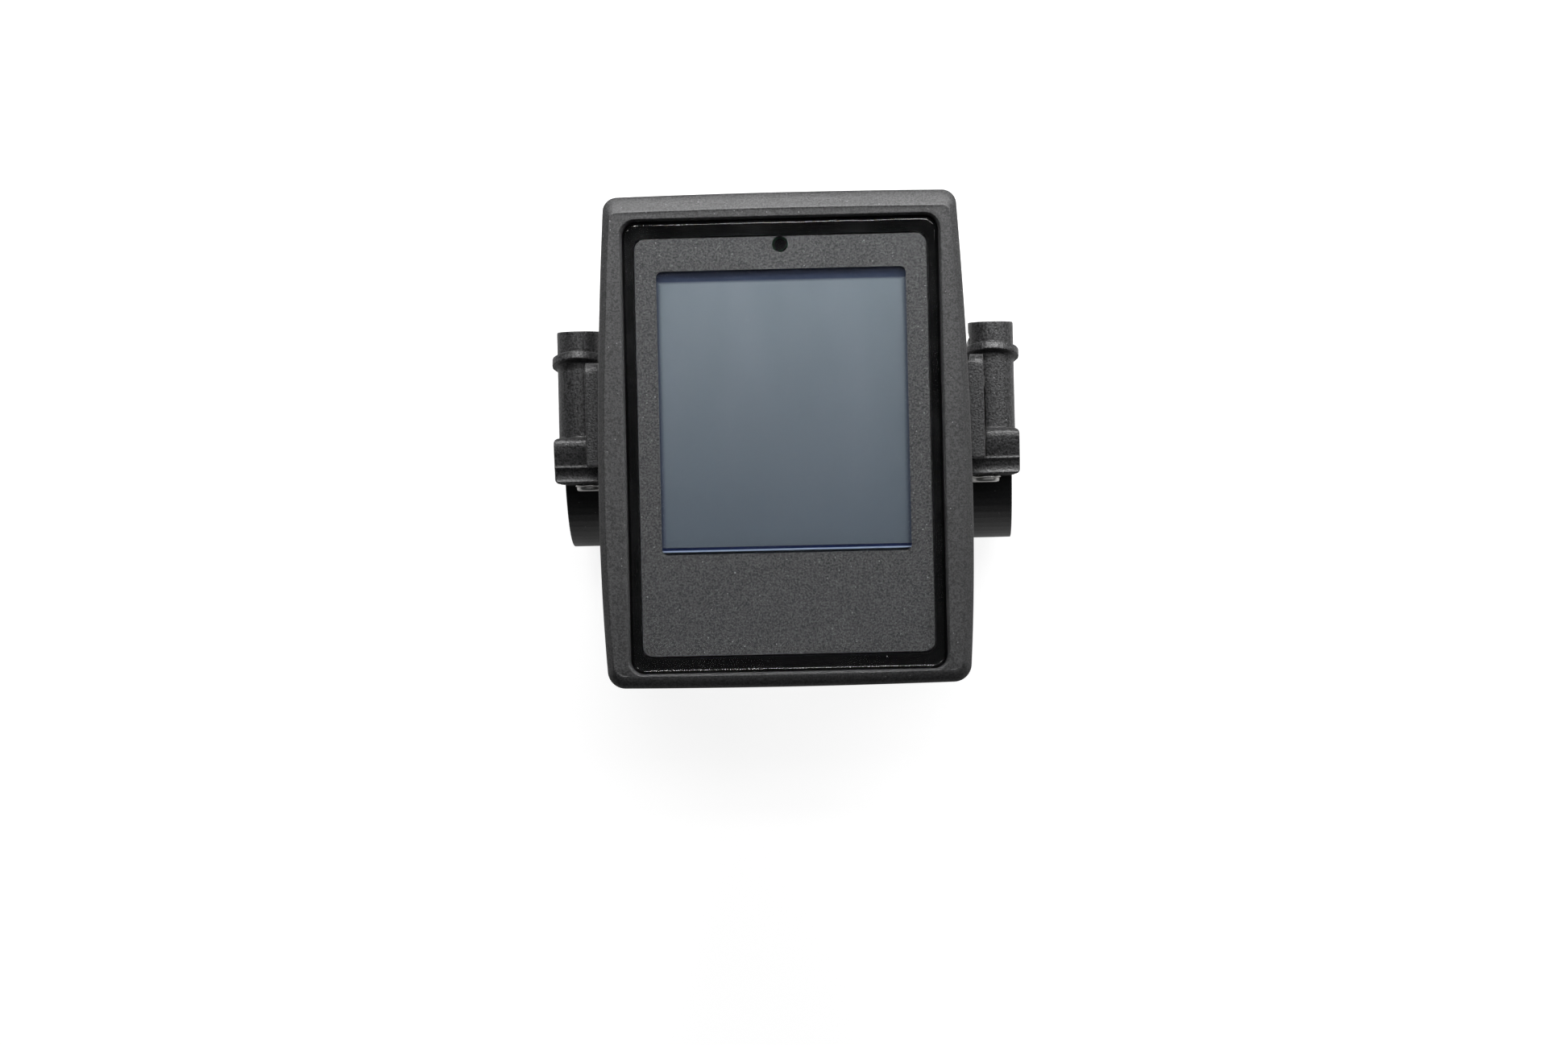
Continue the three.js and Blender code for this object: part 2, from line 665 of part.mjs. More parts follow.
// The outline of the block and flange from above, with its outer corners rounded.
function blockOutline() {
  const r = BLOCK_CORNER_R;
  const shape = new THREE.Shape();
  shape.moveTo(FLANGE_IN - 1, LIP_BACK);
  shape.lineTo(FLANGE_OUT - r, LIP_BACK);
  shape.absarc(FLANGE_OUT - r, LIP_BACK + r, r, -Math.PI / 2, 0);
  shape.absarc(FLANGE_OUT - r, BLOCK_FRONT - r, r, 0, Math.PI / 2);
  shape.lineTo(FLANGE_IN - 1, BLOCK_FRONT);
  return shape;
}

function clampSaddle() {
  const barrel = rodY(BOSS_R, BLOCK_BACK, BOSS_END, CLAMP_MID, HINGE_Z, 32);
  const disc = new THREE.CylinderGeometry(COLLAR_R, COLLAR_R, COLLAR_FRONT - COLLAR_BACK, 32);
  disc.rotateX(-COLLAR_LEAN);
  disc.translate(CLAMP_MID, (COLLAR_BACK + COLLAR_FRONT) / 2, HINGE_Z + COLLAR_RISE);
  const rear = saddleBlock().add(saddleFlange()).intersect(plate(blockOutline(), 0, 40));
  let body = join(saddleArch(), barrel, solid(disc), rear);
  const slot = KNUCKLE_W / 2 + CLEAR;
  const reach = KNUCKLE_R + CLEAR;
  const pocket = NUT_POCKET;
  const nut = ARM_POCKET.x + PIVOT_NUT_T + RUNNING;
  body = cut(
    body,
    rodX(BAR_R + LINER_T + RUNNING, CLAMP_IN - 3, FLANGE_OUT + 1, 0, 0, 96),
    block(CLAMP_MID - slot, CLAMP_MID + slot, HINGE_Y - reach, HINGE_Y + reach, 5, HINGE_Z + reach),
    block(CLAMP_MID - slot, CLAMP_MID + slot, HINGE_Y, BOSS_END + 1, 5, HINGE_Z + 1.4),
    rodX(PIN_R + RUNNING, CLAMP_IN - 1, CLAMP_OUT - 0.7, HINGE_Y, HINGE_Z),
    rodX(PIVOT_R + RUNNING, CLAMP_IN - 1, PIVOT_END + RUNNING, PIVOT_Y, PIVOT_Z),
    rodX(PIVOT_NUT_R + RUNNING, CLAMP_IN - 1, nut, PIVOT_Y, PIVOT_Z, 6),
    rodY(SCREW_R + 0.2, LIP_BACK - 1, 1.6, CLOSE_X, CLOSE_Z),
    block(FLANGE_IN - 1, pocket.x, pocket.y0, pocket.y1, pocket.z0, pocket.z1),
    block(FLANGE_IN - 1, ARM_POCKET.x, ARM_POCKET.y0, ARM_POCKET.y1, 0, 40),
  );
  return body;
}

function clampStrap() {
  const rearOut = Math.acos(TAB_BACK / STRAP_OUT);
  const rearIn = Math.acos(TAB_FRONT / RING_IN);
  const shape = new THREE.Shape();
  shape.moveTo(STRAP_OUT, HINGE_Z);
  shape.lineTo(RING_IN, HINGE_Z);
  shape.absarc(0, 0, RING_IN, 0, rearIn, true);
  shape.lineTo(TAB_FRONT, TAB_TOP);
  shape.lineTo(TAB_BACK, TAB_TOP);
  shape.absarc(0, 0, STRAP_OUT, rearOut, 0, false);
  const ring = profileX(shape, CLAMP_IN, STRAP_SIDE, 24);
  const tab = block(FLANGE_IN, TAB_SIDE, TAB_BACK, TAB_FRONT, RING_IN + 0.6, TAB_TOP);
  const x0 = CLAMP_MID - KNUCKLE_W / 2;
  const x1 = CLAMP_MID + KNUCKLE_W / 2;
  const knuckle = rodX(KNUCKLE_R, x0, x1, HINGE_Y, HINGE_Z);
  const body = cut(
    join(ring, tab),
    block(CLAMP_IN - 1, x0, 10, 20, KNUCKLE_FOOT, 30),
    block(x1, FLANGE_OUT, 10, 20, KNUCKLE_FOOT, 30),
  );
  const half = SLOT_W / 2;
  return cut(
    join(body, knuckle),
    rodX(PIN_R + RUNNING, 30, 44, HINGE_Y, HINGE_Z),
    rodY(half, TAB_BACK - 1, TAB_FRONT + 1, CLOSE_X, CLOSE_Z),
    block(CLOSE_X - half, CLOSE_X + half, TAB_BACK - 1, TAB_FRONT + 1, CLOSE_Z, TAB_TOP + 1),
  );
}

function hingePin() {
  return rodX(PIN_R, CLAMP_IN + 0.2, CLAMP_OUT - 0.8, HINGE_Y, HINGE_Z);
}

function closingScrew() {
  const front = TAB_BACK - RUNNING - WASHER_T;
  const head = rodY(CLOSE_HEAD_R, front - CLOSE_HEAD_T, front, CLOSE_X, CLOSE_Z);
  const socket = rodY(CLOSE_HEAD_R / 2, front - 2, front - 0.3, CLOSE_X, CLOSE_Z, 6);
  return head.subtract(socket).add(rodY(SCREW_R, front - 0.1, 0.9, CLOSE_X, CLOSE_Z));
}

function closingWasher() {
  const front = TAB_BACK - RUNNING;
  const disc = rodY(WASHER_R, front - WASHER_T, front, CLOSE_X, CLOSE_Z);
  return disc.subtract(rodY(SCREW_R + RUNNING, front - 2, front + 2, CLOSE_X, CLOSE_Z));
}

function closingNut() {
  const { y0, y1 } = NUT_POCKET;
  const [x, z, half] = [CLOSE_X, CLOSE_Z, NUT_HALF];
  const nut = block(x - half, x + half, y0 + RUNNING, y1 - RUNNING, z - half, z + half);
  return nut.subtract(rodY(SCREW_R + RUNNING, -5, 2, CLOSE_X, CLOSE_Z));
}

function saddleLiner() {
  const shape = ringSector(BAR_R, BAR_R + LINER_T, 0.62, 1.86);
  return profileX(shape, CLAMP_IN + CLEAR, CLAMP_OUT - CLEAR, 8);
}

function strapLiner() {
  const shape = ringSector(BAR_R, BAR_R + LINER_T, -4.28, 0.12);
  return profileX(shape, CLAMP_IN + CLEAR, STRAP_SIDE - CLEAR, 20);
}

// ---------------------------------------------------------------- assembly

const computer = new THREE.Group();

function place(name, body, material) {
  const mesh = new THREE.Mesh(geometryOf(body), material);
  mesh.name = name;
  computer.add(mesh);
}

function mirrored(geometry) {
  const copy = geometry.clone();
  copy.scale(-1, 1, 1);
  const index = copy.index.array;
  for (let i = 0; i < index.length; i += 3) {
    [index[i], index[i + 1]] = [index[i + 1], index[i]];
  }
  return copy;
}

// A piece of the right-hand side, and its mirror image on the left.
function placePair(name, body, material, ending = '') {
  place(`${name}_right${ending}`, body, material);
  const twin = new THREE.Mesh(mirrored(geometryOf(body)), material);
  twin.name = `${name}_left${ending}`;
  computer.add(twin);
}

place('front_bezel', frontBezel(), MATTE_BLACK);
place('rear_cover', rearCover(), MATTE_BLACK);
place('housing_seal', housingSeal(), RUBBER);
housingScrewPlaces().forEach(([x, y], i) => {
  place(`housing_screw_${i + 1}`, housingScrew(x, y), STEEL);
});
place('cable_gland', cableGland(), SMOOTH_BLACK);
place('cable_grommet', cableGrommet(), RUBBER);
place('gland_nut', glandNut(), SMOOTH_BLACK);
place('vent_plug', ventPlug(), SMOOTH_BLACK);

place('front_lens', lens(), CLEAR_PLASTIC);
place('lens_gasket', lensGasket(), RUBBER);
place('mask_panel', maskPanel(), PANEL_GREY);
place('front_polariser', frontPolariser(), LCD_GREY);
place('lcd_cell', lcdCell(), LCD_GREY);
place('rear_polariser', screenSheet(47.4, 54, LCD_Z - FILM_T, LCD_Z), LCD_GREY);
place('light_guide', screenSheet(47.6, 54.2, GUIDE_Z, GUIDE_Z + GUIDE_T), CLEAR_PLASTIC);
place('reflector_sheet', screenSheet(47.6, 54.2, GUIDE_Z - 0.3, GUIDE_Z - 0.1), WHITE_PLASTIC);
place('backlight_strip', backlightStrip(), WHITE_PLASTIC);
place('lcd_carrier', lcdCarrier(), WHITE_PLASTIC);

place('main_board', mainBoard(), BOARD_GREEN);
place('microcontroller', underBoard(0, -4, 10, 10, 1.4), CHIP_BLACK);
place('voltage_regulator', underBoard(-14, -6, 6.5, 6.5, 2.2), CHIP_BLACK);
place('bus_transceiver', underBoard(0, 16, 6, 5, 1.5), CHIP_BLACK);
place('capacitor', capacitor(), CHIP_BLACK);
place('inductor', inductor(), CHIP_BLACK);
place('buzzer', buzzer(), CHIP_BLACK);
place('light_sensor', lightSensor(), CHIP_BLACK);
place('light_pipe', lightPipe(), CLEAR_PLASTIC);
place('screen_connector', screenConnector(), WHITE_PLASTIC);

placePair('bracket_arm', bracketArm(), MATTE_BLACK);
ARM_SCREW_Y.forEach((y, i) => placePair('arm_screw', armScrew(y), STEEL, `_${i + 1}`));
placePair('pivot_screw', pivotScrew(), STEEL);
placePair('pivot_nut', pivotNut(), STEEL);

placePair('clamp_saddle', clampSaddle(), MATTE_BLACK);
placePair('clamp_strap', clampStrap(), SMOOTH_BLACK);
placePair('hinge_pin', hingePin(), STEEL);
placePair('closing_screw', closingScrew(), STEEL);
placePair('closing_washer', closingWasher(), STEEL);
placePair('closing_nut', closingNut(), STEEL);
placePair('saddle_liner', saddleLiner(), RUBBER);
placePair('strap_liner', strapLiner(), RUBBER);

export default computer;
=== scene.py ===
import json
import math

import bmesh
import bpy
from mathutils import Matrix, Vector


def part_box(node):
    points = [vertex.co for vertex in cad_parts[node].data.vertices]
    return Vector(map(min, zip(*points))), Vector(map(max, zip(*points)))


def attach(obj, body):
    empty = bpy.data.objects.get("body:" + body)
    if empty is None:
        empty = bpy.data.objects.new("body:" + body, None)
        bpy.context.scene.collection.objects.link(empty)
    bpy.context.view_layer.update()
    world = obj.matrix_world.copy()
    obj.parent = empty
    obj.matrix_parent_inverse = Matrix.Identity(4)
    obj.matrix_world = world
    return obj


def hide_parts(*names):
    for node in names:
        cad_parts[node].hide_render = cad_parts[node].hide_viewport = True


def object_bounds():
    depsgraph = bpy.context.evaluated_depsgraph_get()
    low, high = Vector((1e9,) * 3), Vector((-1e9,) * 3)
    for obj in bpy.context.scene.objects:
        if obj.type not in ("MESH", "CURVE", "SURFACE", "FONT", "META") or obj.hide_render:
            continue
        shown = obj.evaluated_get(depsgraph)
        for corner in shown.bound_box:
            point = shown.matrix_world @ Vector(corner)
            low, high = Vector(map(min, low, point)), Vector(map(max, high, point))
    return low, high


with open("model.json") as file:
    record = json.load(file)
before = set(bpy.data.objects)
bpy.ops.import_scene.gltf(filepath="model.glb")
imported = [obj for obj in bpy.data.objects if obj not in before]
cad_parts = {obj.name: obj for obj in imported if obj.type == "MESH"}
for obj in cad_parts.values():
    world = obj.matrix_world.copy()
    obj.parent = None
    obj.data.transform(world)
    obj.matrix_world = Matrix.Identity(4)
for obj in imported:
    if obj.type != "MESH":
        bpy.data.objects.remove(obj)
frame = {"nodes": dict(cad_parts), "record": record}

cad_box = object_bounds()

MM = 0.001
NODES = frame["nodes"]


def box_mm(node):
    """A CAD node's lowest and highest corners, in millimetres."""
    low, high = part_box(node)
    return low / MM, high / MM


# ------------------------------------------------------------------ driving sizes, in mm

BEZEL_LOW, BEZEL_HIGH = box_mm("front_bezel")
LENS_LOW, LENS_HIGH = box_mm("front_lens")
PANEL_LOW, PANEL_HIGH = box_mm("mask_panel")
COVER_LOW, COVER_HIGH = box_mm("rear_cover")

# The barrel outline of the housing: its long sides bulge out to a point below the middle, and
# its ends bow a little.
HALF_LENGTH = 43.75
HALF_WIDTH_TOP = 31.5
HALF_WIDTH_BOTTOM = 32.4
SIDE_BULGE_X = 34.6
SIDE_BULGE_Y = -8.0
END_BOW = 0.5
CORNER_TOP = 2.6
CORNER_BOTTOM = 3.2

# The top layer of the rim falls away outward at its lower end: where along the length that
# starts, how much it falls for each mm, and how thick the layer is.
FOOT_SLOPE_START = -40.3
FOOT_SLOPE = 0.1
RIM_TOP = 0.6

# The lens, the ledge it lies on, the bezel's hollow behind it, and the mask's openings.
SCREEN_Y = (LENS_LOW.y + LENS_HIGH.y) / 2
LENS_HALF_W = (LENS_HIGH.x - LENS_LOW.x) / 2
LENS_HALF_H = (LENS_HIGH.y - LENS_LOW.y) / 2
LENS_R = 2.0
LEDGE_DEPTH = 0.6
LEDGE_THICKNESS = 1.0
LEDGE_HALF_W, LEDGE_HALF_H = 26.3, 37.5
HOLLOW_HALF_W, HOLLOW_HALF_H = 28.5, 40.75
BEZEL_CORNER = 2.0
WINDOW = {"w": 44.5, "h": 50.6, "r": 1.1, "y": 5.1}
SENSOR_Y = 34.8
SENSOR_HOLE_R = 1.45

# The rear cover, its screws, and what passes through its floor.
COVER_HALF_W, COVER_HALF_H = 28.0, 40.5
COVER_SCREW_X, COVER_SCREW_Y = 24.4, 36.6
ARM_SCREW_X = 30.6
ARM_SCREW_YS = (-1, 12)
GLAND_PLACE = (0, 30, 0)
VENT_PLACE = (14, 22, 0)

# How many points an outline has on each corner, long side and end.
CORNER_STEPS = 12
SIDE_STEPS = 40
END_STEPS = 24

# How far a cubic curve's handles reach towards the corner of a quarter circle.
CIRCLE_HANDLE = 0.5523

# A polygon with this many sides is a flat end, not part of a rounded surface.
FLAT_END_SIDES = 12


# ------------------------------------------------------------------ outlines

def bezier(points, steps):
    """Points along a quadratic or cubic curve, without its last point."""
    out = []
    for i in range(steps):
        t = i / steps
        row = list(points)
        while len(row) > 1:
            row = [a.lerp(b, t) for a, b in zip(row, row[1:])]
        out.append(row[0])
    return out


def rounded(start, corner, end, steps=CORNER_STEPS):
    """A round corner from start to end, tangent to both sides that meet at corner."""
    handles = [start.lerp(corner, CIRCLE_HANDLE), end.lerp(corner, CIRCLE_HANDLE)]
    return bezier([start, *handles, end], steps)


def barrel(side=0.0, top=None, bottom=None):
    """The housing's outline, drawn in by these amounts at its sides, top and bottom."""
    top = side if top is None else top
    bottom = side if bottom is None else bottom
    xt, xb = HALF_WIDTH_TOP - side, HALF_WIDTH_BOTTOM - side
    yt, yb = HALF_LENGTH - top, bottom - HALF_LENGTH
    rt = max(CORNER_TOP - min(side, top) * 1.1, 0.8)
    rb = max(CORNER_BOTTOM - min(side, bottom) * 0.9, 0.8)
    bulge = SIDE_BULGE_X - side
    points = []
    for mirror in (1, -1):
        low = Vector((mirror * xb, yb + rb))
        high = Vector((mirror * xt, yt - rt))
        middle = Vector((mirror * bulge, SIDE_BULGE_Y))
        head = Vector((mirror * (xt - rt), yt))
        foot = Vector((mirror * (xb - rb), yb))
        side_run = bezier([low, middle, high], SIDE_STEPS)
        top_corner = rounded(high, Vector((mirror * xt, yt)), head)
        bottom_corner = rounded(foot, Vector((mirror * xb, yb)), low)
        if mirror == 1:
            far = Vector((-(xt - rt), yt))
            ends = bezier([head, Vector((0, yt + END_BOW)), far], END_STEPS)
            points += bottom_corner + side_run + top_corner + ends
        else:
            run = bottom_corner + side_run + top_corner + [head]
            run.reverse()
            near = Vector((xb - rb, yb))
            ends = bezier([foot, Vector((0, yb - END_BOW)), near], END_STEPS)
            points += run[:-1] + ends
    return points


def rectangle(half_w, half_h, r, y=0.0):
    """A rounded rectangle with the same number of points as barrel(), in the same order."""
    points = []
    corners = [(1, -1), (1, 1), (-1, 1), (-1, -1)]
    runs = [SIDE_STEPS, END_STEPS, SIDE_STEPS, END_STEPS]
    for i, (cx, cy) in enumerate(corners):
        corner = Vector((cx * half_w, y + cy * half_h))
        inward_x = Vector((corner.x - cx * r, corner.y))
        inward_y = Vector((corner.x, corner.y - cy * r))
        start, end = (inward_x, inward_y) if i % 2 == 0 else (inward_y, inward_x)
        points += rounded(start, corner, end)
        nx, ny = corners[(i + 1) % len(corners)]
        following = Vector((nx * half_w, y + ny * half_h))
        if i % 2 == 0:
            target = Vector((following.x, following.y - ny * r))
        else:
            target = Vector((following.x - nx * r, following.y))
        points += [end.lerp(target, k / runs[i]) for k in range(runs[i])]
    return points


def blend_outlines(a, b, t):
    return [p.lerp(q, t) for p, q in zip(a, b)]


# ------------------------------------------------------------------ meshes

def shade(mesh, sharp):
    """Smooth shading up to the given angle; the large flat ends stay flat."""
    for polygon in mesh.polygons:
        polygon.use_smooth = len(polygon.vertices) < FLAT_END_SIDES
    mesh.set_sharp_from_angle(angle=math.radians(sharp))


def finish_mesh(name, mesh, sharp=35):
    mesh.validate()
    work = bmesh.new()
    work.from_mesh(mesh)
    bmesh.ops.recalc_face_normals(work, faces=work.faces)
    work.to_mesh(mesh)
    work.free()
    shade(mesh, sharp)
    piece = bpy.data.objects.new(name, mesh)
    bpy.context.scene.collection.objects.link(piece)
    return piece


def mesh_from(points, faces, name):
    mesh = bpy.data.meshes.new(name)
    mesh.from_pydata([tuple(c * MM for c in p) for p in points], [], faces)
    mesh.update()
    return mesh


def stack(rings, closed=False):
    """Points and faces of outlines stacked from rings of (outline, z). closed joins the last
    ring to the first, as on a frame with a window."""
    count = len(rings[0][0])
    points = [(p.x, p.y, z) for outline, z in rings for p in outline]
    faces = []
    levels = len(rings)
    for level in range(levels if closed else levels - 1):
        low, high = level * count, (level + 1) % levels * count
        for i in range(count):
            j = (i + 1) % count
            faces.append((low + i, low + j, high + j, high + i))
    if not closed:
        faces.append(tuple(reversed(range(count))))
        faces.append(tuple(range((levels - 1) * count, levels * count)))
    return points, faces


def lofted(name, rings, closed=False, sharp=35):
    points, faces = stack(rings, closed)
    return finish_mesh(name, mesh_from(points, faces, name), sharp)


# ------------------------------------------------------------------ materials

# The Mix node's colour sockets, by number because its other kinds of socket share their names.
MIX_A, MIX_B, MIX_RESULT = 6, 7, 2


def new_material(name):
    """A material with one shader, its tree and the shader itself."""
    material = bpy.data.materials.new(name)
    material.use_nodes = True
    tree = material.node_tree
    tree.nodes.clear()
    output = tree.nodes.new("ShaderNodeOutputMaterial")
    shader = tree.nodes.new("ShaderNodeBsdfPrincipled")
    tree.links.new(shader.outputs[0], output.inputs[0])
    return material, tree, shader


def object_noise(tree, scale, detail=2.0, roughness=0.5):
    place = tree.nodes.new("ShaderNodeTexCoord")
    noise = tree.nodes.new("ShaderNodeTexNoise")
    noise.inputs["Scale"].default_value = scale
    noise.inputs["Detail"].default_value = detail
    noise.inputs["Roughness"].default_value = roughness
    tree.links.new(place.outputs["Object"], noise.inputs["Vector"])
    return noise


def ramp(tree, source, low, high, a, b):
    """The source's range from low to high turned into a to b."""
    node = tree.nodes.new("ShaderNodeMapRange")
    node.inputs["From Min"].default_value = low
    node.inputs["From Max"].default_value = high
    node.inputs["To Min"].default_value = a
    node.inputs["To Max"].default_value = b
    tree.links.new(source, node.inputs["Value"])
    return node.outputs["Result"]


def mix_colour(tree, factor, a, b):
    node = tree.nodes.new("ShaderNodeMix")
    node.data_type = "RGBA"
    tree.links.new(factor, node.inputs["Factor"])
    for socket, value in ((MIX_A, a), (MIX_B, b)):
        if isinstance(value, tuple):
            node.inputs[socket].default_value = (*value, 1)
        else:
            tree.links.new(value, node.inputs[socket])
    return node.outputs[MIX_RESULT]


def maths(tree, operation, a, b=None):
    node = tree.nodes.new("ShaderNodeMath")
    node.operation = operation
    for socket, value in zip(node.inputs, (a, b)):
        if value is not None:
            tree.links.new(value, socket)
    return node.outputs[0]


def bump(tree, shader, height, distance):
    node = tree.nodes.new("ShaderNodeBump")
    node.inputs["Distance"].default_value = distance
    node.inputs["Strength"].default_value = 1.0
    tree.links.new(height, node.inputs["Height"])
    tree.links.new(node.outputs["Normal"], shader.inputs["Normal"])


def dust(tree, scale, size):
    """1 on sparse specks, 0 elsewhere: scale sets how close they are, size how wide."""
    place = tree.nodes.new("ShaderNodeTexCoord")
    cells = tree.nodes.new("ShaderNodeTexVoronoi")
    cells.inputs["Scale"].default_value = scale
    tree.links.new(place.outputs["Object"], cells.inputs["Vector"])
    near = ramp(tree, cells.outputs["Distance"], size * 0.6, size, 1.0, 0.0)
    pick = tree.nodes.new("ShaderNodeSeparateColor")
    tree.links.new(cells.outputs["Color"], pick.inputs[0])
    chosen = ramp(tree, pick.outputs[0], 0.86, 0.9, 0.0, 1.0)
    return maths(tree, "MULTIPLY", near, chosen)


def plastic(name, colour, grain, depth, roughness, variation=0.25, dusty=True, shine=0.5):
    """Moulded plastic: grain is the texture's cell size in mm, depth its height in mm, variation
    how far its colour swings, and shine how strongly it reflects."""
    material, tree, shader = new_material(name)
    fine = object_noise(tree, 1 / (grain * MM), 3.0, 0.6)
    broad = object_noise(tree, 60.0, 3.0)
    light = tuple(min(c * (1 + variation), 1) for c in colour)
    dark = tuple(c * (1 - variation) for c in colour)
    base = mix_colour(tree, ramp(tree, fine.outputs[0], 0.38, 0.62, 0.0, 1.0), dark, light)
    if dusty:
        speck = tuple(min(c * 3 + 0.12, 1) for c in colour)
        base = mix_colour(tree, dust(tree, 1400.0, 0.16), base, speck)
    tree.links.new(base, shader.inputs["Base Color"])
    shader.inputs["Specular IOR Level"].default_value = shine
    rough = ramp(tree, broad.outputs[0], 0.3, 0.7, roughness - 0.06, roughness + 0.06)
    tree.links.new(rough, shader.inputs["Roughness"])
    bump(tree, shader, fine.outputs[0], depth * MM)
    return material


def rubber(name, colour, roughness, depth=0.02, dusty=False):
    material, tree, shader = new_material(name)
    fine = object_noise(tree, 2500.0, 2.0)
    dark, light = (tuple(c * k for c in colour) for k in (0.7, 1.3))
    base = mix_colour(tree, fine.outputs[0], dark, light)
    if dusty:
        base = mix_colour(tree, dust(tree, 800.0, 0.09), base, (0.3, 0.3, 0.3))
    tree.links.new(base, shader.inputs["Base Color"])
    broad = object_noise(tree, 150.0, 3.0)
    tree.links.new(
        ramp(tree, broad.outputs[0], 0.3, 0.7, roughness - 0.08, roughness + 0.08),
        shader.inputs["Roughness"],
    )
    bump(tree, shader, fine.outputs[0], depth * MM)
    return material


def metal(name, colour, roughness):
    material, tree, shader = new_material(name)
    shader.inputs["Metallic"].default_value = 1.0
    fine = object_noise(tree, 1800.0, 4.0, 0.7)
    tree.links.new(
        mix_colour(tree, fine.outputs[0], tuple(c * 0.75 for c in colour), colour),
        shader.inputs["Base Color"],
    )
    tree.links.new(
        ramp(tree, fine.outputs[0], 0.3, 0.7, roughness - 0.08, roughness + 0.1),
        shader.inputs["Roughness"],
    )
    bump(tree, shader, fine.outputs[0], 0.01 * MM)
    return material


def clear_glass(name, tint):
    """A clear moulded window: it bends sight rays and lets lamps through to what is behind it."""
    material, tree, shader = new_material(name)
    shader.inputs["Base Color"].default_value = (*tint, 1)
    shader.inputs["Transmission Weight"].default_value = 1.0
    shader.inputs["IOR"].default_value = 1.49
    smear = object_noise(tree, 90.0, 4.0, 0.6)
    tree.links.new(
        ramp(tree, smear.outputs[0], 0.35, 0.75, 0.02, 0.06), shader.inputs["Roughness"]
    )
    through = tree.nodes.new("ShaderNodeBsdfTransparent")
    through.inputs["Color"].default_value = (*tint, 1)
    rays = tree.nodes.new("ShaderNodeLightPath")
    mix = tree.nodes.new("ShaderNodeMixShader")
    tree.links.new(rays.outputs["Is Shadow Ray"], mix.inputs[0])
    tree.links.new(shader.outputs[0], mix.inputs[1])
    tree.links.new(through.outputs[0], mix.inputs[2])
    output = next(n for n in tree.nodes if n.type == "OUTPUT_MATERIAL")
    tree.links.new(mix.outputs[0], output.inputs[0])
    return material


def screen_film(name):
    """The LCD's grey-blue front film: a little streaked, darker towards its foot by painted shade,
    with a dark blue painted shadow of the mask's edge along its top, and dark blue along its
    sides, partly the polariser's own border and partly painted shade."""
    material, tree, shader = new_material(name)
    streaks = object_noise(tree, 1.0, 3.0)
    place = streaks.inputs["Vector"].links[0].from_socket  # the object's own coordinates
    stretch = tree.nodes.new("ShaderNodeMapping")
    stretch.inputs["Scale"].default_value = (120.0, 22.0, 1.0)
    tree.links.new(place, stretch.inputs["Vector"])
    tree.links.new(stretch.outputs[0], streaks.inputs["Vector"])
    base = mix_colour(
        tree, ramp(tree, streaks.outputs[0], 0.3, 0.7, 0.0, 1.0), FILM_DARK, FILM_LIGHT
    )
    parts = tree.nodes.new("ShaderNodeSeparateXYZ")
    tree.links.new(place, parts.inputs[0])
    half_w = WINDOW["w"] / 2 * MM
    top = (WINDOW["y"] + WINDOW["h"] / 2) * MM
    # Dark blue along the sides: partly the polariser's own border, partly painted shade from the
    # window's edge.
    side = ramp(tree, maths(tree, "ABSOLUTE", parts.outputs[0]), half_w - 0.9 * MM, half_w, 0, 0.75)
    # Painted shade: the film's colour darkens from its top towards its foot.
    foot_shade = ramp(tree, parts.outputs[1], top - WINDOW["h"] * MM, top, 0.0, 1.0)
    base = mix_colour(tree, foot_shade, FILM_FOOT_SHADE, base)
    # Painted shadow of the mask's edge: a dark blue band along the top of the film.
    head = ramp(tree, parts.outputs[1], top - 2.3 * MM, top - 1.75 * MM, 0, 0.92)
    edge = maths(tree, "MAXIMUM", side, head)
    base = mix_colour(tree, edge, base, FILM_BORDER_AND_SHADOW)
    tree.links.new(base, shader.inputs["Base Color"])
    shader.inputs["Specular IOR Level"].default_value = 0.12
    fine = object_noise(tree, 6000.0, 1.0)
    tree.links.new(ramp(tree, fine.outputs[0], 0.3, 0.7, 0.42, 0.55), shader.inputs["Roughness"])
    bump(tree, shader, fine.outputs[0], 0.004 * MM)
    return material


def cell_glass(name):
    """Dark blue glass with a pale line painted along its lower edge: a painted highlight of the
    edge's bevel catching the light.
    """
    material, tree, shader = new_material(name)
    place = tree.nodes.new("ShaderNodeTexCoord")
    parts = tree.nodes.new("ShaderNodeSeparateXYZ")
    tree.links.new(place.outputs["Object"], parts.inputs[0])
    low = box_mm("lcd_cell")[0].y * MM
    # Painted highlight: a thin pale line just above the cell's lower edge.
    edge_highlight = ramp(tree, parts.outputs[1], low + 0.26 * MM, low + 0.3 * MM, 1.0, 0.0)
    base = mix_colour(tree, edge_highlight, (0.006, 0.011, 0.04), (0.16, 0.2, 0.27))
    tree.links.new(base, shader.inputs["Base Color"])
    fine = object_noise(tree, 3000.0, 2.0)
    tree.links.new(ramp(tree, fine.outputs[0], 0.3, 0.7, 0.12, 0.2), shader.inputs["Roughness"])
    return material


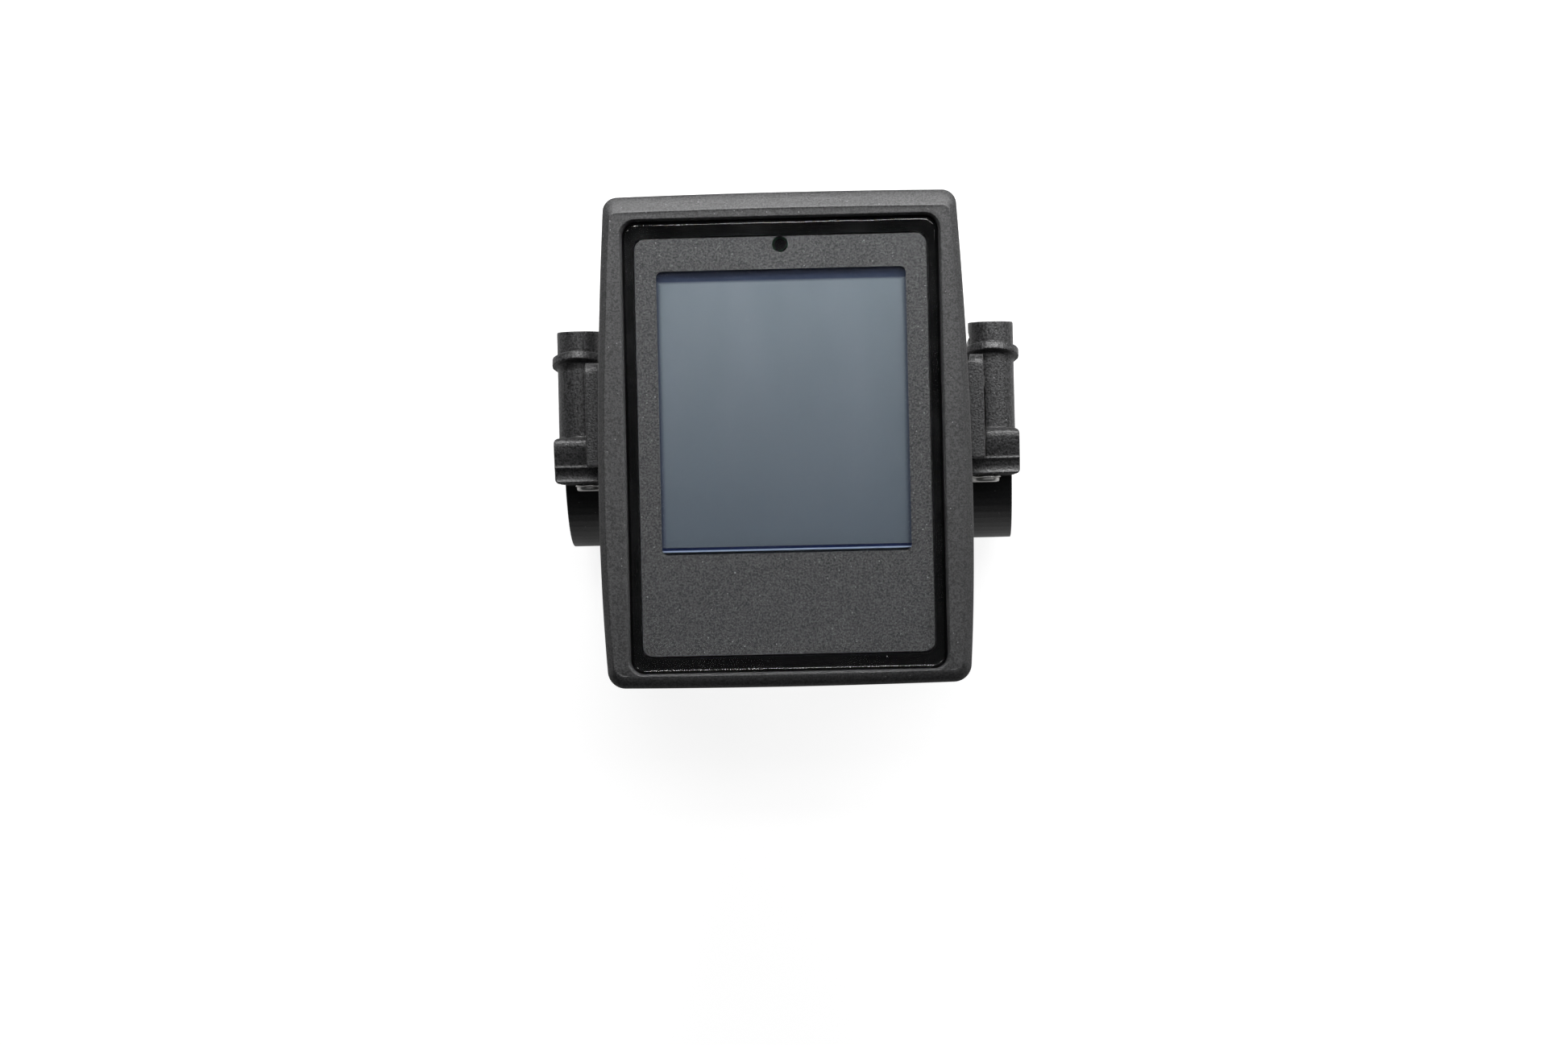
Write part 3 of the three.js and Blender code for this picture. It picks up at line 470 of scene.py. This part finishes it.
# The film's colours: between its streaks, on them, at its foot, where they are painted shade,
# and along its edges, where they are a painted shadow of the mask's edge at the top and, at the
# sides, partly the polariser's own dark border and partly painted shade.
FILM_DARK = (0.078, 0.094, 0.107)
FILM_LIGHT = (0.094, 0.109, 0.124)
FILM_FOOT_SHADE = (0.046, 0.057, 0.07)
FILM_BORDER_AND_SHADOW = (0.005, 0.009, 0.026)
HOUSING = plastic("housing_plastic_look", (0.04, 0.04, 0.041), 0.32, 0.045, 0.44, 0.5)
BRACKET = plastic("bracket_plastic_look", (0.036, 0.036, 0.037), 0.36, 0.1, 0.34, 0.75)
STRAP = plastic("strap_plastic_look", (0.012, 0.012, 0.0125), 0.5, 0.012, 0.36)
PANEL = plastic("mask_print_look", (0.03, 0.03, 0.0303), 0.33, 0.015, 0.6, 0.66, shine=0.26)
GASKET = rubber("gasket_look", (0.0012, 0.0012, 0.0012), 0.1, 0.002, True)
CELL = cell_glass("cell_glass_look")
RUBBER = rubber("rubber_look", (0.012, 0.012, 0.012), 0.7)
STEEL = metal("steel_look", (0.8, 0.79, 0.77), 0.32)
LENS = clear_glass("lens_look", (0.97, 0.975, 0.98))
GUIDE = clear_glass("light_guide_look", (0.93, 0.95, 0.95))
FILM = screen_film("screen_film_look")
WHITE = plastic("white_plastic_look", (0.6, 0.6, 0.58), 0.4, 0.005, 0.45, 0.05, False)
BOARD = plastic("circuit_board_look", (0.02, 0.1, 0.055), 0.6, 0.01, 0.4, 0.3, False)
CHIP = plastic("chip_look", (0.015, 0.015, 0.016), 0.12, 0.01, 0.55, 0.2, False)

LOOKS = {
    "housing_plastic": HOUSING,
    "bracket_plastic": BRACKET,
    "strap_plastic": STRAP,
    "black_rubber": RUBBER,
    "clear_lens": LENS,
    "mask_print": PANEL,
    "screen_film": FILM,
    "light_guide_plastic": GUIDE,
    "white_plastic": WHITE,
    "circuit_board": BOARD,
    "chip_plastic": CHIP,
    "bright_steel": STEEL,
}
SLOTS = {row["node"]: row["material_slot"] for row in frame["record"]["subparts"]}
BODIES = {n: b for b, ns in frame["record"]["behaviour"]["bodies"].items() for n in ns}


def dress(piece, material):
    piece.data.materials.clear()
    piece.data.materials.append(material)


for node, thing in NODES.items():
    dress(thing, LOOKS[SLOTS[node]])


def stand_for(piece, node, material=None):
    """The piece takes a CAD node's place, on its body and with its finish."""
    dress(piece, material or LOOKS[SLOTS[node]])
    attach(piece, BODIES[node])
    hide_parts(node)


# ------------------------------------------------------------------ housing

def bezel_piece():
    """The rim: up its outside, over the crest, down the opening's wall to the lens's ledge, and
    down the hollow behind."""
    low, high = BEZEL_LOW.z, BEZEL_HIGH.z
    ledge = LENS_LOW.z - LEDGE_DEPTH
    ledge_edge = rectangle(LEDGE_HALF_W, LEDGE_HALF_H, BEZEL_CORNER, SCREEN_Y)
    hollow = rectangle(HOLLOW_HALF_W, HOLLOW_HALF_H, BEZEL_CORNER)

    def window(grow, r):
        return rectangle(LENS_HALF_W + grow, LENS_HALF_H + grow, r, SCREEN_Y)

    crest = barrel(1.25, 2.95, 2.2)
    lip = window(0.95, 2.9)
    rings = [
        (barrel(0.3), low),
        (barrel(0.08), low + 0.08),
        (barrel(0.0), low + 0.3),
        (barrel(0.0), high - 1.9),
        (barrel(0.02, 0.03, 0.02), high - 1.66),
        (barrel(0.1, 0.16, 0.1), high - 1.46),
        (barrel(0.24, 0.44, 0.26), high - 1.24),
        (barrel(0.6, 1.35, 0.72), high - 0.76),
        (barrel(1.02, 2.4, 1.3), high - 0.24),
        (barrel(1.12, 2.66, 1.65), high - 0.1),
        (barrel(1.18, 2.82, 1.95), high - 0.03),
        (crest, high),
        (blend_outlines(crest, lip, 0.05), high - 0.01),
        (blend_outlines(crest, lip, 0.1), high - 0.04),
        (blend_outlines(crest, lip, 0.16), high - 0.06),
        (blend_outlines(crest, lip, 0.5), high - 0.065),
        (blend_outlines(crest, lip, 0.9), high - 0.07),
        (blend_outlines(crest, lip, 0.97), high - 0.075),
        (lip, high - 0.12),
        (window(0.82, 2.75), high - 0.42),
        (window(0.72, 2.65), high - 0.7),
        (window(0.56, 2.5), high - 1.3),
        (window(0.45, 2.45), LENS_LOW.z - 0.4),
        (window(0.45, 2.45), ledge),
        (ledge_edge, ledge),
        (ledge_edge, ledge - LEDGE_THICKNESS),
        (hollow, ledge - LEDGE_THICKNESS),
        (hollow, low),
    ]
    piece = lofted("bezel_shell", rings, closed=True, sharp=60)
    for vertex in piece.data.vertices:
        outward = FOOT_SLOPE_START - vertex.co.y / MM
        if vertex.co.z > (high - RIM_TOP) * MM and outward > 0:
            vertex.co.z -= outward * FOOT_SLOPE * MM
    stand_for(piece, "front_bezel")


def lens_piece():
    bevel = 0.22
    support = 0.02  # a last narrow ring, so that the flat face shades flat
    rings = []
    for z, draw_in in (
        (LENS_LOW.z, 0.12),
        (LENS_LOW.z + 0.12, 0.0),
        (LENS_HIGH.z - bevel, 0.0),
        (LENS_HIGH.z - bevel * 0.3, bevel * 0.3),
        (LENS_HIGH.z, bevel),
        (LENS_HIGH.z, bevel + support),
    ):
        outline = rectangle(LENS_HALF_W - draw_in, LENS_HALF_H - draw_in, LENS_R, SCREEN_Y)
        rings.append((outline, z))
    stand_for(lofted("lens_window", rings, sharp=25), "front_lens")


def gasket_piece():
    """The black bead that the lens is bedded in: under the lens it lies flat on the ledge, and
    round the lens it stands up in a wide and a narrow lip."""
    ledge = LENS_LOW.z - LEDGE_DEPTH
    under_lens = LENS_LOW.z - 0.01
    top = LENS_HIGH.z - 0.25
    gap = 0.03
    inner = rectangle(LEDGE_HALF_W, LEDGE_HALF_H, BEZEL_CORNER, SCREEN_Y)

    def around(grow, z):
        return rectangle(LENS_HALF_W + grow, LENS_HALF_H + grow, LENS_R + grow, SCREEN_Y), z

    rings = [
        (inner, ledge),
        around(0.42, ledge),
        around(0.42, top - 0.2),
        around(0.41, top - 0.09),
        around(0.37, top - 0.02),
        around(0.32, top),
        around(0.27, top - 0.02),
        around(0.23, top - 0.09),
        around(0.2, top - 0.2),
        around(0.16, top - 0.2),
        around(0.13, top - 0.1),
        around(0.09, top - 0.05),
        around(gap, top - 0.12),
        around(gap, under_lens),
        (inner, under_lens),
    ]
    stand_for(lofted("lens_bead", rings, closed=True), "lens_gasket", GASKET)


def panel_piece():
    """The printed mask, with the screen's window and the light sensor's hole cut through."""
    half_w = (PANEL_HIGH.x - PANEL_LOW.x) / 2
    half_h = (PANEL_HIGH.y - PANEL_LOW.y) / 2
    outer = rectangle(half_w, half_h, LENS_R, SCREEN_Y)
    view = rectangle(WINDOW["w"] / 2, WINDOW["h"] / 2, WINDOW["r"], WINDOW["y"])
    low, high = PANEL_LOW.z, PANEL_HIGH.z
    rings = [(outer, low), (outer, high), (view, high), (view, low)]
    piece = lofted("mask_sheet", rings, closed=True)
    sides = 48
    ring = [
        Vector((math.cos(a) * SENSOR_HOLE_R, SENSOR_Y + math.sin(a) * SENSOR_HOLE_R))
        for a in (2 * math.pi * i / sides for i in range(sides))
    ]
    points, faces = stack([(ring, low - 1), (ring, high + 1)])
    hole = mesh_from(points, faces, "sensor_hole")
    cutter = bpy.data.objects.new("sensor_hole", hole)
    bpy.context.scene.collection.objects.link(cutter)
    carve(piece, cutter)
    stand_for(piece, "mask_panel")


def carve(piece, cutter, operation="DIFFERENCE"):
    """Applies one boolean to the piece and removes the cutter."""
    modifier = piece.modifiers.new("cut", "BOOLEAN")
    modifier.operation = operation
    modifier.solver = "EXACT"
    modifier.object = cutter
    bake_modifiers(piece)
    shade(piece.data, 32)
    bpy.data.objects.remove(cutter)


def bake_modifiers(piece):
    bpy.context.view_layer.update()
    graph = bpy.context.evaluated_depsgraph_get()
    mesh = bpy.data.meshes.new_from_object(piece.evaluated_get(graph))
    piece.modifiers.clear()
    piece.data = mesh


bezel_piece()
lens_piece()
gasket_piece()
panel_piece()


# ------------------------------------------------------------------ turned pieces

AXES = {"X": 0, "Y": 1, "Z": 2}


def turned(name, profile, origin, axis, out=1, sides=64, closed=False, sharp=30):
    """A lathe-turned piece: profile lists (radius, height), heights counted from origin along
    the axis, towards its positive end where out is 1."""
    angles = [2 * math.pi * (i + 0.5) / sides for i in range(sides)]
    rings = [([Vector((math.cos(a), math.sin(a))) * r for a in angles], h) for r, h in profile]
    points, faces = stack(rings, closed)
    placed = []
    for u, v, w in points:
        if out < 0:
            v, w = -v, -w
        local = {"X": (w, u, v), "Y": (v, w, u), "Z": (u, v, w)}[axis]
        placed.append(tuple(o + c for o, c in zip(origin, local)))
    return finish_mesh(name, mesh_from(placed, faces, name), sharp)


def thread(r, start, end, pitch=0.5, depth=0.14):
    """The ridges of a screw thread between two heights."""
    profile = [(r - depth, start)]
    count = int((end - start) / pitch)
    for i in range(count):
        h = start + i * pitch
        profile += [(r, h + pitch * 0.4), (r, h + pitch * 0.6), (r - depth, h + pitch)]
    profile.append((r - depth, end))
    return profile


def along(node, axis, out):
    """A turned node's middle line and ends: origin at its outer end, its length and radius."""
    low, high = box_mm(node)
    k = AXES[axis]
    origin = [(a + b) / 2 for a, b in zip(low, high)]
    origin[k] = high[k] if out > 0 else low[k]
    radius = max(high[i] - low[i] for i in range(3) if i != k) / 2
    return origin, high[k] - low[k], radius


def screw_piece(name, node, axis, out, head, shank):
    """A socket-head screw: a turned head with a hexagonal socket, and a threaded shank."""
    origin, length, radius = along(node, axis, out)
    profile = [(shank * 0.7, -length), (shank - 0.14, 0.3 - length)]
    profile += thread(shank, 0.35 - length, -head - 0.6)
    profile += [
        (shank - 0.14, -head - 0.5),
        (shank, -head - 0.4),
        (shank, -head),
        (radius - 0.1, -head),
        (radius, 0.1 - head),
        (radius, -0.34),
        (radius - 0.05, -0.2),
        (radius - 0.16, -0.07),
        (radius - 0.32, 0.0),
        (radius * 0.62, 0.0),
    ]
    piece = turned(name, profile, origin, axis, out)
    socket = turned(
        "socket", [(radius * 0.52, -head * 0.62), (radius * 0.52, 0.0), (radius * 0.62, 0.5)],
        origin, axis, out, 6,
    )
    carve(piece, socket)
    stand_for(piece, node)


def washer_piece(name, node, axis, out, bore):
    """A plain washer with broken edges."""
    origin, length, radius = along(node, axis, out)
    edge = 0.1
    profile = [
        (bore + edge, -length),
        (radius - edge, -length),
        (radius, edge - length),
        (radius, -edge),
        (radius - edge, 0.0),
        (bore + edge, 0.0),
        (bore, -edge),
        (bore, edge - length),
    ]
    stand_for(turned(name, profile, origin, axis, out, closed=True), node)


def pin_piece(name, node, axis):
    """A hinge pin with chamfered ends."""
    origin, length, radius = along(node, axis, 1)
    profile = [
        (radius - 0.22, -length),
        (radius, 0.2 - length),
        (radius, -0.2),
        (radius - 0.22, 0.0),
    ]
    stand_for(turned(name, profile, origin, axis, sides=48), node)


for number in range(1, 5):
    screw_piece(f"cover_screw_{number}", f"housing_screw_{number}", "Z", -1, 2.0, 1.25)
for side, out in (("left", -1), ("right", 1)):
    for number in (1, 2):
        screw_piece(f"arm_bolt_{side}_{number}", f"arm_screw_{side}_{number}", "Z", -1, 1.5, 1.0)
    screw_piece(f"pivot_bolt_{side}", f"pivot_screw_{side}", "X", -out, 1.8, 1.25)
    screw_piece(f"closing_bolt_{side}", f"closing_screw_{side}", "Y", -1, 0.8, 1.5)
    washer_piece(f"plain_washer_{side}", f"closing_washer_{side}", "Y", -1, 1.62)
    pin_piece(f"strap_pin_{side}", f"hinge_pin_{side}", "X")


# ------------------------------------------------------------------ back of the housing

def joined(first, *others):
    for other in others:
        carve(first, other, "UNION")
    return first


def cover_piece():
    """The rear cover: a tub with sloping, rounded edges, a rim the bezel sits on, and posts for
    the four screws."""
    low, high = COVER_LOW.z, COVER_HIGH.z
    rim = high - 1.0
    half_w, half_h = COVER_HALF_W, COVER_HALF_H
    rings = []
    for z, dx, dy, r in (
        (0.0, 2.9, 3.9, 4.6),
        (0.06, 2.6, 3.6, 4.9),
        (0.22, 2.3, 3.3, 5.1),
        (0.5, 2.0, 2.8, 5.2),
        (2.0, 0.6, 0.9, 5.8),
        (2.3, 0.32, 0.45, 5.9),
        (2.65, 0.12, 0.14, 6.0),
        (3.1, 0.0, 0.0, 6.0),
    ):
        rings.append((rectangle(half_w - dx, half_h - dy, r), low + z))
    rings += [
        (rectangle(half_w, half_h, 6.0), rim - 0.7),
        (rectangle(half_w + 0.08, half_h + 0.08, 6.0), rim - 0.35),
        (rectangle(half_w + 0.3, half_h + 0.3, 6.2), rim - 0.1),
        (rectangle(half_w + 0.7, half_h + 0.6, 6.3), rim),
        (barrel(0.5), rim),
        (barrel(0.27), rim + 0.07),
        (barrel(0.15), rim + 0.25),
        (barrel(0.15), high - 0.15),
        (barrel(0.25), high),
        (rectangle(26.0, 38.5, 4.0), high),
        (rectangle(26.0, 38.5, 4.0), low + 2.0),
    ]
    piece = lofted("cover_tub", rings, sharp=40)
    for x in (-COVER_SCREW_X, COVER_SCREW_X):
        for y in (-COVER_SCREW_Y, COVER_SCREW_Y):
            post = [(2.8, low + 0.65), (3.0, low + 0.75), (3.2, low + 1.0), (3.2, high)]
            joined(piece, turned("post", post, (x, y, 0), "Z"))
            bore = [(2.7, low - 1), (2.7, low + 0.7), (2.5, low + 0.95), (2.5, low + 3.0)]
            bore += [(1.35, low + 3.0), (1.35, high + 1)]
            carve(piece, turned("bore", bore, (x, y, 0), "Z"))
    for side in (-1, 1):
        for y in ARM_SCREW_YS:
            bore = [(1.1, rim - 1), (1.1, high + 1)]
            carve(piece, turned("bore", bore, (side * ARM_SCREW_X, y, 0), "Z", sides=32))
    for r, place in ((4.6, GLAND_PLACE), (3.1, VENT_PLACE)):
        carve(piece, turned("bore", [(r, low - 1), (r, low + 3)], place, "Z"))
    stand_for(piece, "rear_cover")


def gland_piece():
    """A screwed cable gland: a hexagon with chamfered corners, and a ribbed clamping nose."""
    origin, length = along("cable_gland", "Z", -1)[:2]
    hexagon = turned("gland_nose", [(6.4, -4.4), (6.4, -2.1)], origin, "Z", -1, 6)
    dome = [(5.6, -4.4), (6.2, -4.2), (6.6, -3.9), (6.6, -2.6), (6.2, -2.3), (5.6, -2.1)]
    carve(hexagon, turned("dome", dome, origin, "Z", -1), "INTERSECT")
    nose = [(4.5, -length), (4.5, -2.0)]
    for h in (-1.8, -1.3, -0.8):
        nose += [(4.5, h), (4.32, h + 0.1), (4.32, h + 0.22), (4.5, h + 0.32)]
    nose += [(4.5, -0.4), (4.36, -0.14), (4.0, 0.0)]
    joined(hexagon, turned("barrel", nose, origin, "Z", -1))
    carve(hexagon, turned("bore", [(2.7, -length - 1), (2.7, 1)], origin, "Z", -1))
    stand_for(hexagon, "cable_gland")


def grommet_piece():
    """The rubber sleeve in the gland, with a rolled lip."""
    origin, length, radius = along("cable_grommet", "Z", -1)
    profile = [
        (2.6, -length),
        (2.6, -1.05),
        (radius - 0.25, -1.0),
        (radius - 0.06, -0.85),
        (radius, -0.6),
        (radius - 0.08, -0.3),
        (radius - 0.35, -0.08),
        (radius - 0.75, 0.0),
        (2.3, -0.04),
        (2.0, -0.2),
        (1.9, -0.5),
        (1.9, -length),
    ]
    stand_for(turned("cable_sleeve", profile, origin, "Z", -1, closed=True), "cable_grommet")


def vent_piece():
    """The vent's moulded cap, with a ring groove and a shallow dish in the middle."""
    origin, length, radius = along("vent_plug", "Z", -1)
    profile = [
        (radius - 0.1, -length),
        (radius, 0.1 - length),
        (radius, -0.14),
        (radius - 0.14, 0.0),
        (radius - 0.7, 0.0),
        (radius - 0.78, -0.12),
        (radius - 1.0, -0.12),
        (radius - 1.08, 0.0),
        (0.9, 0.0),
        (0.7, -0.1),
        (0.3, -0.14),
    ]
    stand_for(turned("vent_cap", profile, origin, "Z", -1), "vent_plug")


def seal_piece():
    """The seal between bezel and cover, with holes for the arms' screws."""
    low, high = box_mm("housing_seal")
    inner = rectangle(28.8, 41.1, 3.0)
    rings = [
        (inner, low.z),
        (barrel(1.08), low.z),
        (barrel(1.0), low.z + 0.12),
        (barrel(1.0), high.z - 0.12),
        (barrel(1.08), high.z),
        (inner, high.z),
    ]
    piece = lofted("parting_seal", rings, closed=True)
    for side in (-1, 1):
        for y in ARM_SCREW_YS:
            bore = [(1.2, low.z - 1), (1.2, high.z + 1)]
            carve(piece, turned("bore", bore, (side * ARM_SCREW_X, y, 0), "Z", sides=32))
    stand_for(piece, "housing_seal")


cover_piece()
gland_piece()
grommet_piece()
vent_piece()
seal_piece()


def bevelled(node, name, width, material=None):
    """The node's solid with its edges broken by a small rounded bevel."""
    piece = bpy.data.objects.new(name, NODES[node].data.copy())
    bpy.context.scene.collection.objects.link(piece)
    edges = piece.modifiers.new("edges", "BEVEL")
    edges.width = width * MM
    edges.segments = 3
    edges.limit_method = "ANGLE"
    edges.angle_limit = math.radians(40)
    bake_modifiers(piece)
    shade(piece.data, 35)
    stand_for(piece, node, material)


bevelled("front_polariser", "film_sheet", 0.05)
bevelled("lcd_cell", "cell_glass", 0.12, CELL)
for side in ("left", "right"):
    bevelled(f"pivot_nut_{side}", f"hex_nut_{side}", 0.15)
    bevelled(f"closing_nut_{side}", f"square_nut_{side}", 0.15)
    bevelled(f"saddle_liner_{side}", f"saddle_pad_{side}", 0.1)
    bevelled(f"strap_liner_{side}", f"strap_pad_{side}", 0.1)


# ------------------------------------------------------------------ soft-edged copies

# Each moulded part's piece name, voxel size in mm and rounds of smoothing.
SOFT = {
    "clamp_saddle": ("saddle_shell", 0.16, 4),
    "clamp_strap": ("strap_band", 0.18, 4),
    "bracket_arm": ("arm_shell", 0.14, 4),
}


def softened(node, name, voxel, rounds):
    """The node's solid remeshed finely, with its edges rounded as a moulding's are."""
    piece = bpy.data.objects.new(name, NODES[node].data.copy())
    bpy.context.scene.collection.objects.link(piece)
    remesh = piece.modifiers.new("remesh", "REMESH")
    remesh.mode = "VOXEL"
    remesh.voxel_size = voxel * MM
    smooth = piece.modifiers.new("smooth", "SMOOTH")
    smooth.factor = 0.5
    smooth.iterations = rounds
    bake_modifiers(piece)
    for polygon in piece.data.polygons:
        polygon.use_smooth = True
    return piece


for node, (name, voxel, rounds) in SOFT.items():
    for side in ("left", "right"):
        full = f"{node}_{side}"
        stand_for(softened(full, f"{name}_{side}", voxel, rounds), full)


# ------------------------------------------------------------------ floor, light and camera

def floor():
    """A wide pale floor just under the straps. It glows mostly for the camera, so that it looks
    white and only faintly lights the object from below."""
    mesh = bpy.data.meshes.new("floor")
    half = 3.0
    height = cad_box[0][2] - 0.5 * MM
    corners = [(-half, -half), (half, -half), (half, half), (-half, half)]
    mesh.from_pydata([(x, y, height) for x, y in corners], [], [(0, 1, 2, 3)])
    piece = bpy.data.objects.new("floor", mesh)
    bpy.context.scene.collection.objects.link(piece)
    material, tree, shader = new_material("floor_look")
    fine = object_noise(tree, 12.0, 2.0)
    tree.links.new(
        mix_colour(tree, fine.outputs[0], (0.38, 0.38, 0.38), (0.4, 0.4, 0.4)),
        shader.inputs["Base Color"],
    )
    shader.inputs["Emission Color"].default_value = (1.0, 1.0, 1.0, 1)
    rays = tree.nodes.new("ShaderNodeLightPath")
    glow = ramp(tree, rays.outputs["Is Camera Ray"], 0.0, 1.0, 0.16, 0.85)
    tree.links.new(glow, shader.inputs["Emission Strength"])
    shader.inputs["Roughness"].default_value = 0.9
    dress(piece, material)


def area_light(name, place, target, size, power):
    data = bpy.data.lights.new(name, "AREA")
    data.shape = "RECTANGLE"
    data.size, data.size_y = size
    data.energy = power
    lamp = bpy.data.objects.new(name, data)
    lamp.location = place
    aim = Vector(target) - Vector(place)
    lamp.rotation_euler = aim.to_track_quat("-Z", "Y").to_euler()
    bpy.context.scene.collection.objects.link(lamp)


def lights():
    """Soft lights over the display's upper end, with one at the right, in a dim room."""
    area_light("key", (0.015, 0.165, 0.165), (0, 0.02, 0.036), (0.32, 0.04), 0.88)
    area_light("strip", (0.0, 0.3, 0.72), (0, 0, 0.036), (0.8, 0.05), 0.7)
    area_light("over", (0.02, 0.21, 0.75), (0, 0, 0.03), (0.26, 0.1), 0.5)
    area_light("right", (0.75, 0.3, 0.5), (0, 0, 0.03), (0.3, 0.6), 2.4)
    world = bpy.data.worlds.new("studio")
    world.use_nodes = True
    world.node_tree.nodes["Background"].inputs[0].default_value = (0.92, 0.96, 1.0, 1)
    world.node_tree.nodes["Background"].inputs[1].default_value = 0.03
    bpy.context.scene.world = world


# The camera's distance from the face, the picture's width and the object's height above its
# middle, both in mm at the face, and the camera's turns.
CAMERA_DISTANCE = 0.65
VIEW_WIDTH = 278.0
OBJECT_ABOVE_CENTRE = 14.786
ROLL = math.radians(1.3)
SIDEWAYS = math.radians(1.7)


def camera():
    """Looks down on the screen, a little from the right and turned a little."""
    data = bpy.data.cameras.new("camera")
    data.sensor_width = 36.0
    data.lens = CAMERA_DISTANCE / (VIEW_WIDTH * MM) * data.sensor_width
    eye = bpy.data.objects.new("camera", data)
    drop = OBJECT_ABOVE_CENTRE * MM
    height = BEZEL_HIGH.z * MM + CAMERA_DISTANCE
    up = Vector((math.sin(ROLL), math.cos(ROLL), 0))
    shift = math.tan(SIDEWAYS) * CAMERA_DISTANCE
    eye.location = Vector((shift, 0, height)) - up * drop
    turn = Matrix.Rotation(SIDEWAYS, 4, "Y") @ Matrix.Rotation(-ROLL, 4, "Z")
    eye.rotation_euler = turn.to_euler()
    bpy.context.scene.collection.objects.link(eye)
    bpy.context.scene.camera = eye


floor()
lights()
camera()
bpy.context.scene.view_settings.view_transform = "Standard"
